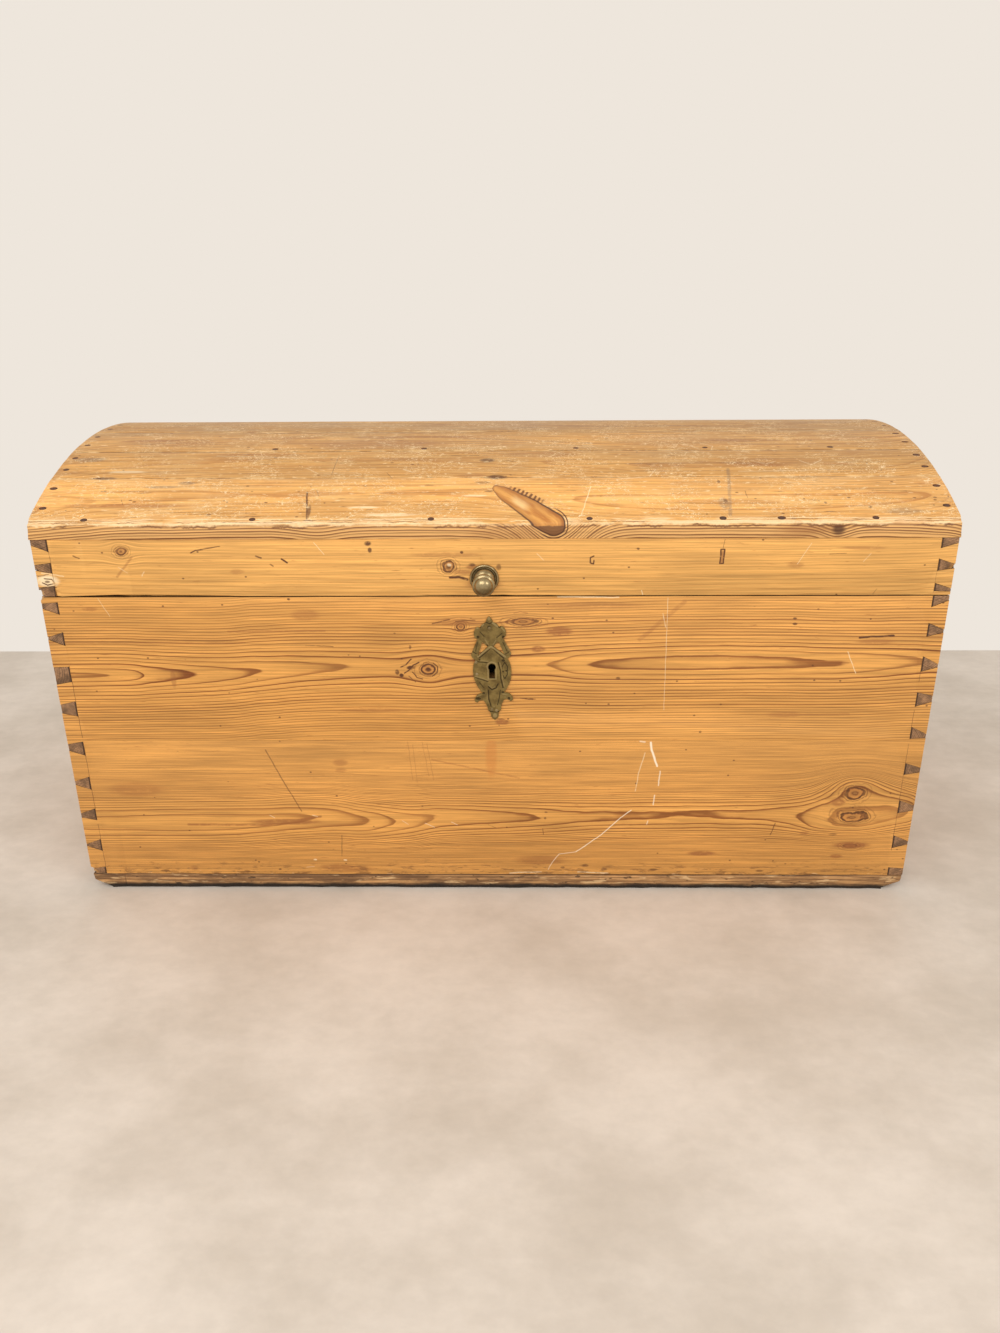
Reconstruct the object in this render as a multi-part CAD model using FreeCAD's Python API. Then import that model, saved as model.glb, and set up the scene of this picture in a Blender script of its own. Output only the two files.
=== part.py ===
import FreeCAD, Part
import math
import os

os.makedirs("parts", exist_ok=True)

Vec = FreeCAD.Vector
UP = Vec(0, 0, 1)
DOWN = Vec(0, 0, -1)
TO_FRONT = Vec(0, -1, 0)
TO_BACK = Vec(0, 1, 0)
ALONG = Vec(1, 0, 0)
LEFT = -1
MIDDLE = 0
RIGHT = 1
FRONT = -1
BACK = 1
BELOW = -1
ABOVE = 1

# Trunk: outside of the carcass and lid frame. The origin is on the floor under its middle
trunk_length = 1078.0
trunk_depth = 554.0
seam_height = 410.0
seam_gap = 0.8
lid_rail_height = 69.5
dome_rise = 69.0

# Boards
face_thickness = 21.0
end_thickness = 20.0
floor_thickness = 22.0
plank_thickness = 16.0
face_top_board_width = 190.0
end_top_board_width = 165.0
floor_end_round = 19.0
dome_overhang = 1.0
dome_arris_round = 4.0
outer_plank_width = 83.0
second_plank_width = 71.0
middle_plank_count = 3
batten_width = 44.0
batten_thickness = 18.0

# Dovetail pins of the end boards, hand cut, as shares of the height of the front board that they join:
# low and high edge at the inside of the end board, then low and high edge at its outside
left_lower_pin_shares = (
    (0.000, 0.055, 0.000, 0.039),
    (0.178, 0.270, 0.218, 0.231),
    (0.415, 0.504, 0.435, 0.466),
    (0.643, 0.739, 0.680, 0.705),
    (0.892, 0.992, 0.927, 0.974),
)
left_upper_pin_shares = (
    (0.175, 0.285, 0.199, 0.261),
    (0.424, 0.530, 0.404, 0.526),
    (0.673, 0.767, 0.716, 0.732),
    (0.884, 0.967, 0.924, 0.959),
)
right_lower_pin_shares = (
    (0.000, 0.061, 0.000, 0.053),
    (0.210, 0.308, 0.239, 0.263),
    (0.474, 0.570, 0.496, 0.533),
    (0.756, 0.841, 0.774, 0.807),
)
right_upper_pin_shares = (
    (0.012, 0.101, 0.018, 0.048),
    (0.244, 0.347, 0.279, 0.322),
    (0.489, 0.596, 0.520, 0.541),
    (0.728, 0.820, 0.755, 0.777),
    (0.924, 1.000, 0.969, 1.000),
)
left_lid_pin_shares = (
    (0.000, 0.190, 0.000, 0.160),
    (0.411, 0.595, 0.464, 0.561),
    (0.787, 1.300, 0.908, 1.300),
)
right_lid_pin_shares = (
    (0.070, 0.209, 0.060, 0.112),
    (0.427, 0.635, 0.470, 0.539),
    (0.815, 1.300, 0.908, 1.300),
)

# Cut nails of the boards: shank, head, and how far each kind is set below the face
nail_shank_width = 2.6
nail_head_radius = 3.2
nail_head_height = 1.2
nail_head_room = 0.15
dome_nail_length = 40.0
dome_nail_set = 0.5
rail_nail_length = 24.0
batten_nail_length = 28.0
row_nail_inset = 7.0
batten_nail_inset = 9.0
floor_nail_length = 44.0
floor_nail_set = 3.4
plank_nail_shares = (0.32, 0.76)
rail_nail_shares = (-0.88, -0.515, -0.13, 0.21, 0.495, 0.62, 0.82)
batten_nail_shares = (-0.52, -0.165, 0.195, 0.50, 0.795)
floor_board_count = 3
floor_nail_shares = (0.25, 0.75)
floor_row_nail_shares = (-0.75, -0.25, 0.25, 0.75)

# Strap hinges on the back: straps, knuckles and pin
hinge_spacing = 660.0
strap_thickness = 2.5
strap_width = 34.0
strap_tip_width = 18.0
strap_tip_round = 14.0
chest_strap_length = 150.0
lid_strap_length = 58.0
knuckle_radius = 5.5
knuckle_length = 16.0
knuckle_end_gap = 0.3
knuckle_face_gap = 0.5
hinge_pin_radius = 3.0
hinge_pin_play = 0.05
hinge_pin_head_radius = 4.4
hinge_pin_head_height = 1.6
strap_nail_head_radius = 4.6
strap_nail_head_height = 1.8
strap_nail_length = 17.0
chest_strap_nail_shares = (0.16, 0.42, 0.70, 1.0)
lid_strap_nail_shares = (0.30, 0.62, 0.88)
strap_nail_side_share = 0.26

# Keyhole: a round hole with a slot below it, through the front
keyhole_x = -1.0
keyhole_below_seam = 90.0
keyhole_radius = 4.7
keyhole_slot_width = 6.8
keyhole_slot_reach = 14.6
keyhole_board_room = 1.0

# Escutcheon: pierced brass plate, nailed on a little out of plumb
escutcheon_height = 136.0
escutcheon_width = 48.6
escutcheon_thickness = 1.8
escutcheon_tilt = -2.7
escutcheon_above_keyhole = 65.6
escutcheon_pin_radius = 1.1
escutcheon_pin_head_radius = 1.9
escutcheon_pin_head_height = 0.8
escutcheon_pin_head_round = 0.4
escutcheon_pin_length = 12.0
escutcheon_pin_play = 0.05

# Half outline of the escutcheon from its top tip down: shares of the half width and of the height
# below the tip. A step with two points is an arc through the first one
escutcheon_outline_shares = (
    ((0.10, 0.020), (0.173, 0.054)),
    ((0.34, 0.070), (0.473, 0.108)),
    ((0.60, 0.095), (0.716, 0.113)),
    ((0.79, 0.140), (0.774, 0.179)),
    ((0.72, 0.200), (0.626, 0.203)),
    ((1.0, 0.355),),
    ((0.93, 0.385), (0.80, 0.405)),
    ((0.905, 0.444),),
    ((0.95, 0.560), (0.523, 0.731)),
    ((0.70, 0.735), (0.947, 0.780)),
    ((0.92, 0.815), (0.823, 0.820)),
    ((0.66, 0.800), (0.514, 0.805)),
    ((0.38, 0.850), (0.329, 0.904)),
    ((0.21, 0.930), (0.198, 0.952)),
    ((0.12, 0.985), (0.0, 1.0)),
)
escutcheon_window_shares = ((0.41, 0.238), (0.13, 0.282), (0.67, 0.369))
escutcheon_pin_shares = ((0.0, 0.108), (-0.78, 0.54), (-0.78, 0.425), (-0.13, 0.893), (0.10, 0.905))

# Box lock inside the front: plate, case, posts, bolt, spring and drill pin
lock_plate_width = 130.0
lock_plate_height = 120.0
lock_plate_thickness = 2.0
lock_top_below_seam = 4.0
lock_case_width = 108.0
lock_case_height = 106.0
lock_case_depth = 17.4
lock_case_wall = 1.6
lock_case_below_plate_top = 3.5
lock_bolt_thickness = 5.0
lock_bolt_travel = 12.0
lock_bolt_to_plate = 5.0
lock_bolt_gap = 0.2
lock_bolt_bar_height = 10.0
lock_bolt_foot_height = 14.0
lock_bolt_arm_width = 26.0
lock_bolt_arm_left = 46.0
lock_bolt_foot_right = 16.0
lock_bolt_bar_below_seam = 12.0
lock_bolt_foot_above_key = 13.3
lock_talon_width = 10.0
lock_talon_depth = 7.0
lock_post_radius = 2.9
lock_post_shoulder = 4.6
lock_post_head_height = 1.4
lock_post_left = 27.0
lock_post_edge = 13.0
lock_spring_thickness = 1.0
lock_spring_width = 5.0
lock_spring_post_x = 34.0
lock_spring_post_below_bar = 14.0
lock_spring_bow = 5.0
lock_spring_play = 0.05
lock_drill_pin_radius = 1.8
lock_drill_pin_length = 15.0
lock_nail_head_radius = 3.4
lock_nail_head_height = 1.4
lock_nail_length = 15.0
lock_nail_inset = 5.0

# Staple on the lid rail that drops into the lock
staple_width = 6.0
staple_leg = 3.0
staple_eye = 6.4
staple_gap_to_plate = 1.3
staple_foot = 4.0
staple_below_bar = 2.0
staple_plate_width = 72.0
staple_plate_height = 12.0
staple_plate_thickness = 2.5
staple_knee_height = 8.0
staple_slot_room = 1.2

# Knob: turned brass pull on a rosette, with its shank through the lid rail
knob_x = -9.0
knob_above_seam = 21.5
rosette_radius = 17.0
rosette_edge = 2.0
rosette_bead_height = 3.2
rosette_groove_radius = 13.6
rosette_height = 9.0
rosette_top_radius = 6.6
knob_neck_radius = 4.9
knob_neck_length = 13.0
knob_rim_radius = 13.2
knob_rim_height = 3.0
knob_dome_radius = 10.2
knob_back_height = 3.4
knob_flare_share = 0.33
rosette_swell_share = 0.75
knob_shank_radius = 4.0
knob_shank_play = 0.05
knob_shank_spare = 2.0
washer_radius = 8.5
washer_thickness = 1.5
nut_width = 13.0
nut_thickness = 6.0

# How far every cutting shape runs past the face that it opens, and how close two points must lie
# to be taken as one
overrun = 1.0
same_point = 0.001

# Places worked out from the sizes above
half_length = trunk_length / 2
half_depth = trunk_depth / 2
inner_half_length = half_length - end_thickness
inner_half_depth = half_depth - face_thickness
face_joint = seam_height - face_top_board_width
end_joint = seam_height - end_top_board_width
lid_base = seam_height + seam_gap
hinge_height = seam_height + seam_gap / 2
hinge_reach = half_depth + knuckle_face_gap + knuckle_radius
barrel_length = 3 * knuckle_length + 2 * knuckle_end_gap
dome_half_span = half_depth + dome_overhang
dome_half_length = half_length + dome_overhang
dome_radius = (dome_half_span ** 2 + dome_rise ** 2) / (2 * dome_rise)
dome_inner_radius = dome_radius - plank_thickness
rail_top = lid_base + lid_rail_height
dome_centre = rail_top - math.sqrt(dome_inner_radius ** 2 - dome_half_span ** 2)
dome_arris_height = dome_centre + math.sqrt(dome_radius ** 2 - dome_half_span ** 2)
dome_top = dome_centre + dome_radius
key_height = seam_height - keyhole_below_seam
lock_face = -inner_half_depth
bolt_top = seam_height - lock_bolt_bar_below_seam
bolt_bottom = key_height + lock_bolt_foot_above_key
bolt_near = lock_face + lock_plate_thickness + lock_bolt_to_plate
bolt_far = bolt_near + lock_bolt_thickness


# Basic shapes

def block(x0, x1, y0, y1, z0, z1):
    return Part.makeBox(x1 - x0, y1 - y0, z1 - z0, Vec(x0, y0, z0))


def prism(points, push):
    return Part.Face(Part.makePolygon(points + [points[0]])).extrude(push)


def rod(radius, start, direction, length):
    return Part.makeCylinder(radius, length, start, direction)


def turned(outline, start, direction):
    """Solid of revolution: outline of (reach along the axis, radius) steps, an arc where a step has
    a middle point, closed along the axis."""
    edges = []
    here = Vec(outline[0][-1][1], 0, outline[0][-1][0])
    first = here
    for step in outline[1:]:
        corners = [Vec(radius, 0, reach) for reach, radius in step]
        if len(corners) == 2:
            edges.append(Part.Arc(here, corners[0], corners[1]).toShape())
        else:
            edges.append(Part.LineSegment(here, corners[0]).toShape())
        here = corners[-1]
    edges.append(Part.LineSegment(here, first).toShape())
    solid = Part.Face(Part.Wire(edges)).revolve(Vec(0, 0, 0), UP, 360)
    solid.Placement = FreeCAD.Placement(start, FreeCAD.Rotation(UP, direction))
    return solid


def joined(first, others):
    return first.multiFuse(others).removeSplitter() if others else first


def cut_by(piece, tools):
    near = [tool for tool in tools if tool.BoundBox.intersect(piece.BoundBox)]
    return piece.cut(near) if near else piece


def save(name, shapes):
    solids = []
    for shape in shapes:
        solids += shape.Solids
    node = solids[0] if len(solids) == 1 else Part.makeCompound(solids)
    node.exportStep("parts/" + name + ".step")
    faults = sum(not solid.isValid() for solid in solids)
    print(name, len(solids), "solids, faults:", faults, "volume:", round(node.Volume))


# Nails: square shanks, so that each lies flat in its hole

def nail(head_top, outwards, length, head_radius, head_height):
    half = nail_shank_width / 2
    head = Part.makeCylinder(head_radius, head_height, Vec(0, 0, -head_height))
    shank = block(-half, half, -half, half, -length, -head_height)
    solid = head.fuse(shank).removeSplitter()
    solid.Placement = FreeCAD.Placement(head_top, FreeCAD.Rotation(UP, outwards))
    return solid


def nail_hole(head_top, outwards, length, head_radius, head_height):
    half = nail_shank_width / 2
    depth = head_height + floor_nail_set + overrun
    recess = Part.makeCylinder(head_radius + nail_head_room, depth, Vec(0, 0, -head_height))
    shank = block(-half, half, -half, half, -length, -head_height)
    solid = recess.fuse(shank).removeSplitter()
    solid.Placement = FreeCAD.Placement(head_top, FreeCAD.Rotation(UP, outwards))
    return solid


def set_nails(places, length):
    return [nail(top, out, length, nail_head_radius, nail_head_height) for top, out in places]


def set_holes(places, length):
    return [nail_hole(top, out, length, nail_head_radius, nail_head_height) for top, out in places]


# Proud nails sit on an iron plate: their holes are the bare shanks
def shank_hole(seat, outwards, length):
    half = nail_shank_width / 2
    solid = block(-half, half, -half, half, -length, 0)
    solid.Placement = FreeCAD.Placement(seat, FreeCAD.Rotation(UP, outwards))
    return solid


def proud_nails(seats, outwards, length, head_radius, head_height):
    half = nail_shank_width / 2
    nails = []
    for seat in seats:
        head = Part.makeCone(head_radius, head_radius / 2, head_height)
        shank = block(-half, half, -half, half, -length, 0)
        solid = head.fuse(shank).removeSplitter()
        solid.Placement = FreeCAD.Placement(seat, FreeCAD.Rotation(UP, outwards))
        nails.append(solid)
    return nails


# Dome: the outside is one arc, the inside is a flat facet under each plank

def plank_bounds():
    middle_width = (trunk_depth - 2 * (outer_plank_width + second_plank_width)) / middle_plank_count
    bounds = [-half_depth + outer_plank_width]
    bounds.append(bounds[-1] + second_plank_width)
    for _ in range(middle_plank_count):
        bounds.append(bounds[-1] + middle_width)
    bounds.append(bounds[-1] + second_plank_width)
    return bounds


def dome_point(y, radius):
    """Point at the given radius on the radial line that meets the dome's outside at y."""
    angle = math.asin(y / dome_radius)
    return Vec(0, radius * math.sin(angle), dome_centre + radius * math.cos(angle))


def dome_normal(y):
    angle = math.asin(y / dome_radius)
    return Vec(0, math.sin(angle), math.cos(angle))


def facet_points():
    inner = [dome_point(y, dome_inner_radius) for y in plank_bounds()]
    return [Vec(0, -dome_half_span, rail_top)] + inner + [Vec(0, dome_half_span, rail_top)]


def lid_space():
    """Everything of the lid frame under the planks."""
    points = facet_points()
    points += [Vec(0, dome_half_span, lid_base), Vec(0, -dome_half_span, lid_base)]
    shift = Vec(-dome_half_length, 0, 0)
    return prism([point + shift for point in points], ALONG * (2 * dome_half_length))


def dome_plank(index):
    inner = facet_points()
    bounds = plank_bounds()
    arris = [Vec(0, -dome_half_span, dome_arris_height), Vec(0, dome_half_span, dome_arris_height)]
    outer = [arris[0]] + [dome_point(y, dome_radius) for y in bounds] + [arris[1]]
    crown = dome_point((outer[index].y + outer[index + 1].y) / 2, dome_radius)
    edges = [
        Part.LineSegment(inner[index], inner[index + 1]).toShape(),
        Part.LineSegment(inner[index + 1], outer[index + 1]).toShape(),
        Part.Arc(outer[index + 1], crown, outer[index]).toShape(),
        Part.LineSegment(outer[index], inner[index]).toShape(),
    ]
    plank = Part.Face(Part.Wire(edges)).extrude(ALONG * (2 * dome_half_length))
    plank.translate(Vec(-dome_half_length, 0, 0))
    worn = [edge for edge in plank.Edges if on_arris(edge)]
    return plank.makeFillet(dome_arris_round, worn) if worn else plank


def on_arris(edge):
    box = edge.BoundBox
    outmost = dome_half_span - min(abs(box.YMin), abs(box.YMax)) < same_point
    return outmost and abs(box.ZMin - dome_arris_height) < same_point and box.ZLength < same_point


# Nail places: head top and outward direction

def dome_end_nail_places():
    bounds = [-half_depth] + plank_bounds() + [half_depth]
    places = []
    for low, high in zip(bounds[:-1], bounds[1:]):
        for share in plank_nail_shares:
            y = low + (high - low) * share
            top = dome_point(y, dome_radius - dome_nail_set)
            for side in (LEFT, RIGHT):
                places.append((top + ALONG * (side * (half_length - end_thickness / 2)), dome_normal(y)))
    return places


def row_nail_places(y, shares):
    top = dome_point(y, dome_radius - dome_nail_set)
    return [(top + ALONG * (share * half_length), dome_normal(y)) for share in shares]


def rail_nail_places():
    y = -half_depth + row_nail_inset
    return row_nail_places(y, rail_nail_shares) + row_nail_places(-y, rail_nail_shares)


def batten_nail_places():
    y = plank_bounds()[1] + batten_nail_inset
    return row_nail_places(y, batten_nail_shares) + row_nail_places(-y, batten_nail_shares)


def floor_nail_places():
    board_width = trunk_depth / floor_board_count
    places = []
    for index in range(floor_board_count):
        for share in floor_nail_shares:
            y = -half_depth + board_width * (index + share)
            for side in (LEFT, RIGHT):
                x = side * (half_length - end_thickness / 2)
                places.append((Vec(x, y, floor_nail_set), DOWN))
    for share in floor_row_nail_shares:
        for side in (FRONT, BACK):
            y = side * (half_depth - face_thickness / 2)
            places.append((Vec(share * half_length, y, floor_nail_set), DOWN))
    return places


# Dovetailed boards

def pins(shares, side, base, height, y0, y1):
    outside = side * half_length
    inside = side * inner_half_length
    solids = []
    for inner_low, inner_high, outer_low, outer_high in shares:
        points = [
            Vec(inside, y0, base + inner_low * height),
            Vec(inside, y0, base + inner_high * height),
            Vec(outside, y0, base + outer_high * height),
            Vec(outside, y0, base + outer_low * height),
        ]
        solids.append(prism(points, TO_BACK * (y1 - y0)))
    return solids


def face_bounds(face):
    near = inner_half_depth
    far = half_depth
    return (-far, -near) if face == FRONT else (near, far)


def chest_pins(side, face):
    lower_shares = left_lower_pin_shares if side == LEFT else right_lower_pin_shares
    upper_shares = left_upper_pin_shares if side == LEFT else right_upper_pin_shares
    lower = pins(lower_shares, side, floor_thickness, face_joint - floor_thickness, *face_bounds(face))
    upper = pins(upper_shares, side, face_joint, face_top_board_width, *face_bounds(face))
    return lower + upper


def lid_pins(side, face):
    shares = left_lid_pin_shares if side == LEFT else right_lid_pin_shares
    return pins(shares, side, lid_base, lid_rail_height, *face_bounds(face))


def face_board(face, z0, z1):
    board = block(-half_length, half_length, *face_bounds(face), z0, z1)
    return cut_by(board, chest_pins(LEFT, face) + chest_pins(RIGHT, face))


def end_slab(side, y0, y1, z0, z1):
    low, high = sorted((side * inner_half_length, side * half_length))
    return block(low, high, y0, y1, z0, z1)


def end_board(side, z0, z1):
    reach = end_slab(side, -half_depth, half_depth, z0, z1)
    core = end_slab(side, -inner_half_depth, inner_half_depth, z0, z1)
    tongues = [pin.common(reach) for pin in chest_pins(side, FRONT) + chest_pins(side, BACK)]
    return joined(core, [tongue for tongue in tongues if tongue.Volume > 0])


def floor_board(index):
    width = trunk_depth / floor_board_count
    near = -half_depth + width * index
    board = block(-half_length, half_length, near, near + width, 0, floor_thickness)
    ends = [edge for edge in board.Edges
            if edge.BoundBox.ZMax < floor_end_round and edge.BoundBox.XLength < floor_end_round]
    return board.makeFillet(floor_end_round, ends)


def lid_rail(face):
    rail = block(-half_length, half_length, *face_bounds(face), lid_base, dome_top)
    return cut_by(rail.common(lid_space()), lid_pins(LEFT, face) + lid_pins(RIGHT, face))


def lid_end(side):
    core = end_slab(side, -inner_half_depth, inner_half_depth, lid_base, dome_top)
    tongues = lid_pins(side, FRONT) + lid_pins(side, BACK)
    return joined(core, tongues).common(lid_space())


def dome_batten(side):
    y = side * abs(plank_bounds()[1])
    corner = dome_point(y, dome_inner_radius)
    bar = block(-inner_half_length, inner_half_length, y - batten_width / 2, y + batten_width / 2,
                corner.z - batten_thickness, dome_top)
    return bar.common(lid_space())


# Hinges

def hinge_x(side):
    return side * hinge_spacing / 2


def knuckle_start(side, place):
    return hinge_x(side) + place * (knuckle_length + knuckle_end_gap) - knuckle_length / 2


def knuckle(side, place):
    start = Vec(knuckle_start(side, place), hinge_reach, hinge_height)
    return rod(knuckle_radius, start, ALONG, knuckle_length)


def knuckle_tab(side, place, z0, z1):
    start = knuckle_start(side, place)
    return block(start, start + knuckle_length, half_depth, half_depth + strap_thickness, z0, z1)


def hinge_bore(side):
    start = Vec(hinge_x(side) - barrel_length / 2 - overrun, hinge_reach, hinge_height)
    return rod(hinge_pin_radius + hinge_pin_play, start, ALONG, barrel_length + 2 * overrun)


def strap_leaf(side, direction, length):
    """Flat tapering strap, clear of the knuckles, and the middle of its tip."""
    x = hinge_x(side)
    start = hinge_height + direction * (knuckle_radius + knuckle_face_gap)
    tip = hinge_height + direction * length
    points = [
        Vec(x - strap_width / 2, half_depth, start),
        Vec(x + strap_width / 2, half_depth, start),
        Vec(x + strap_tip_width / 2, half_depth, tip),
        Vec(x - strap_tip_width / 2, half_depth, tip),
    ]
    leaf = prism(points, TO_BACK * strap_thickness)
    return leaf, Vec(x, half_depth, tip)


def hinge_chest_strap(side):
    leaf, tip = strap_leaf(side, BELOW, chest_strap_length)
    pieces = [rod(strap_tip_round, tip, TO_BACK, strap_thickness)]
    low = hinge_height - knuckle_radius - knuckle_face_gap
    for place in (LEFT, RIGHT):
        pieces.append(knuckle(side, place))
        pieces.append(knuckle_tab(side, place, low, hinge_height))
    return joined(leaf, pieces).cut(hinge_bore(side))


def hinge_lid_strap(side):
    leaf, _ = strap_leaf(side, ABOVE, lid_strap_length)
    high = hinge_height + knuckle_radius + knuckle_face_gap
    pieces = [knuckle(side, MIDDLE), knuckle_tab(side, MIDDLE, hinge_height, high)]
    return joined(leaf, pieces).cut(hinge_bore(side))


def hinge_pin(side):
    left_end = Vec(hinge_x(side) - barrel_length / 2, hinge_reach, hinge_height)
    right_end = left_end + ALONG * barrel_length
    heads = [
        rod(hinge_pin_head_radius, left_end, -ALONG, hinge_pin_head_height),
        rod(hinge_pin_head_radius, right_end, ALONG, hinge_pin_head_height),
    ]
    return joined(rod(hinge_pin_radius, left_end, ALONG, barrel_length), heads)


def strap_nail_seats(side, direction, length, shares):
    seats = []
    for index, share in enumerate(shares):
        z = hinge_height + direction * (knuckle_radius + (length - knuckle_radius) * share)
        turn = (LEFT, RIGHT)[index % 2]
        shift = turn * strap_width * strap_nail_side_share * (1 - share)
        seats.append(Vec(hinge_x(side) + shift, half_depth + strap_thickness, z))
    return seats


def chest_strap_seats():
    seats = []
    for side in (LEFT, RIGHT):
        seats += strap_nail_seats(side, BELOW, chest_strap_length, chest_strap_nail_shares)
    return seats


def lid_strap_seats():
    seats = []
    for side in (LEFT, RIGHT):
        seats += strap_nail_seats(side, ABOVE, lid_strap_length, lid_strap_nail_shares)
    return seats


# Keyhole and escutcheon

def keyhole(room, y0, y1):
    radius = keyhole_radius + room
    half = keyhole_slot_width / 2 + room
    bottom = key_height - keyhole_slot_reach - room
    hole = rod(radius, Vec(keyhole_x, y0, key_height), TO_BACK, y1 - y0)
    slot = block(keyhole_x - half, keyhole_x + half, y0, y1, bottom, key_height)
    return hole.fuse(slot).removeSplitter()


def escutcheon_place(side, share_x, share_down):
    x = keyhole_x + side * share_x * escutcheon_width / 2
    z = key_height + escutcheon_above_keyhole - share_down * escutcheon_height
    return Vec(x, -half_depth, z)


def tilt(shape):
    shape.rotate(Vec(keyhole_x, -half_depth, key_height), TO_BACK, escutcheon_tilt)
    return shape


def escutcheon():
    edges = []
    for side in (LEFT, RIGHT):
        here = escutcheon_place(side, 0, 0)
        for step in escutcheon_outline_shares:
            corners = [escutcheon_place(side, *shares) for shares in step]
            if len(corners) == 2:
                edges.append(Part.Arc(here, corners[0], corners[1]).toShape())
            else:
                edges.append(Part.LineSegment(here, corners[0]).toShape())
            here = corners[-1]
    outline = Part.Wire(Part.__sortEdges__(edges))
    plate = Part.Face(outline).extrude(TO_FRONT * escutcheon_thickness)
    windows = []
    for side in (LEFT, RIGHT):
        corners = [escutcheon_place(side, *shares) for shares in escutcheon_window_shares]
        window = prism(corners, TO_FRONT * (escutcheon_thickness + overrun))
        windows.append(window)
    front = -half_depth - escutcheon_thickness - overrun
    holes = [keyhole(0, front, -half_depth)]
    for place, _ in escutcheon_pin_places():
        holes.append(rod(escutcheon_pin_radius + escutcheon_pin_play, place, TO_FRONT,
                         escutcheon_thickness + overrun))
    return tilt(plate.cut(windows)).cut(holes)


def escutcheon_pin_places():
    turn = FreeCAD.Rotation(TO_BACK, escutcheon_tilt)
    middle = Vec(keyhole_x, -half_depth, key_height)
    places = []
    for share_x, share_down in escutcheon_pin_shares:
        flat = escutcheon_place(RIGHT, share_x, share_down)
        place = middle + turn.multVec(flat - middle)
        places.append((place, place + TO_FRONT * escutcheon_thickness))
    return places


def escutcheon_pins():
    top = escutcheon_pin_head_height
    rim = escutcheon_pin_head_radius
    turn = escutcheon_pin_head_round
    slack = turn - turn * math.cos(math.pi / 4)
    outline = (
        ((-escutcheon_pin_length, 0),),
        ((-escutcheon_pin_length, escutcheon_pin_radius),),
        ((0, escutcheon_pin_radius),),
        ((0, rim),),
        ((top - turn, rim),),
        ((top - slack, rim - slack), (top, rim - turn)),
        ((top, 0),),
    )
    return [turned(outline, seat, TO_FRONT) for _, seat in escutcheon_pin_places()]


def escutcheon_pin_holes():
    radius = escutcheon_pin_radius + escutcheon_pin_play
    return [rod(radius, seat, TO_BACK, escutcheon_pin_length + escutcheon_pin_play)
            for _, seat in escutcheon_pin_places()]


# Lock

def lock_block(left, right, near, far, z0, z1):
    """Block placed from the keyhole's middle line and from the inner face of the front."""
    return block(keyhole_x + left, keyhole_x + right, lock_face + near, lock_face + far, z0, z1)


def lock_plate_top():
    return seam_height - lock_top_below_seam


def lock_case_bounds():
    top = lock_plate_top() - lock_case_below_plate_top
    return top - lock_case_height, top


def lock_nail_seats():
    x = lock_plate_width / 2 - lock_nail_inset
    top = lock_plate_top()
    seats = []
    for side in (LEFT, RIGHT):
        for z in (top - lock_nail_inset, top - lock_plate_height + lock_nail_inset):
            seats.append(Vec(keyhole_x + side * x, lock_face + lock_plate_thickness, z))
    return seats


def lock_plate():
    half = lock_plate_width / 2
    top = lock_plate_top()
    plate = lock_block(-half, half, 0, lock_plate_thickness, top - lock_plate_height, top)
    holes = [shank_hole(seat, TO_BACK, lock_nail_length) for seat in lock_nail_seats()]
    holes.append(keyhole(keyhole_board_room, lock_face - overrun,
                         lock_face + lock_plate_thickness + overrun))
    return cut_by(plate, holes)


def lock_case():
    half = lock_case_width / 2
    wall = lock_case_wall
    near = lock_plate_thickness
    far = near + lock_case_depth
    low, high = lock_case_bounds()
    case = lock_block(-half, half, near, far, low, high)
    hollow = lock_block(wall - half, half - wall, near - overrun, far - wall, low + wall, high - wall)
    slot_half = staple_width / 2 + staple_slot_room
    slot = lock_block(-slot_half, slot_half, near - overrun, far - wall, high - wall - overrun,
                      high + overrun)
    return case.cut([hollow, slot])


def post_places():
    x = keyhole_x - lock_post_left
    return [(x, bolt_top - lock_post_edge), (x, bolt_bottom + lock_post_edge)]


def lock_guide_posts():
    posts = []
    start = lock_face + lock_plate_thickness
    for x, z in post_places():
        shoulder = rod(lock_post_shoulder, Vec(x, start, z), TO_BACK, bolt_near - lock_bolt_gap - start)
        neck = rod(lock_post_radius, Vec(x, start, z), TO_BACK, bolt_far + lock_bolt_gap - start)
        head = rod(lock_post_shoulder, Vec(x, bolt_far + lock_bolt_gap, z), TO_BACK,
                   lock_post_head_height)
        posts.append(joined(shoulder, [neck, head]))
    x, z = spring_post_place()
    posts.append(rod(lock_post_radius, Vec(x, start, z), TO_BACK, bolt_far - start))
    return posts


def spring_post_place():
    return keyhole_x + lock_spring_post_x, bolt_top - lock_bolt_bar_height - lock_spring_post_below_bar


def lock_bolt():
    left = keyhole_x - lock_bolt_arm_left
    tip = keyhole_x - staple_width / 2 - staple_slot_room
    foot_right = keyhole_x + lock_bolt_foot_right
    near, far = bolt_near, bolt_far
    arm = block(left, left + lock_bolt_arm_width, near, far, bolt_bottom, bolt_top)
    bar = block(left, tip, near, far, bolt_top - lock_bolt_bar_height, bolt_top)
    foot = block(left, foot_right, near, far, bolt_bottom, bolt_bottom + lock_bolt_foot_height)
    talon_x = keyhole_x - lock_bolt_travel / 2
    talon = block(talon_x - lock_talon_width / 2, talon_x + lock_talon_width / 2,
                  near - overrun, far + overrun, bolt_bottom - overrun, bolt_bottom + lock_talon_depth)
    slots = []
    for x, z in post_places():
        radius = lock_post_radius + lock_bolt_gap
        start = Vec(x, near - overrun, z)
        depth = lock_bolt_thickness + 2 * overrun
        slots.append(rod(radius, start, TO_BACK, depth))
        slots.append(rod(radius, start - ALONG * lock_bolt_travel, TO_BACK, depth))
        slots.append(block(x - lock_bolt_travel, x, near - overrun, far + overrun, z - radius, z + radius))
    return joined(arm, [bar, foot]).cut([talon] + slots)


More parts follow.
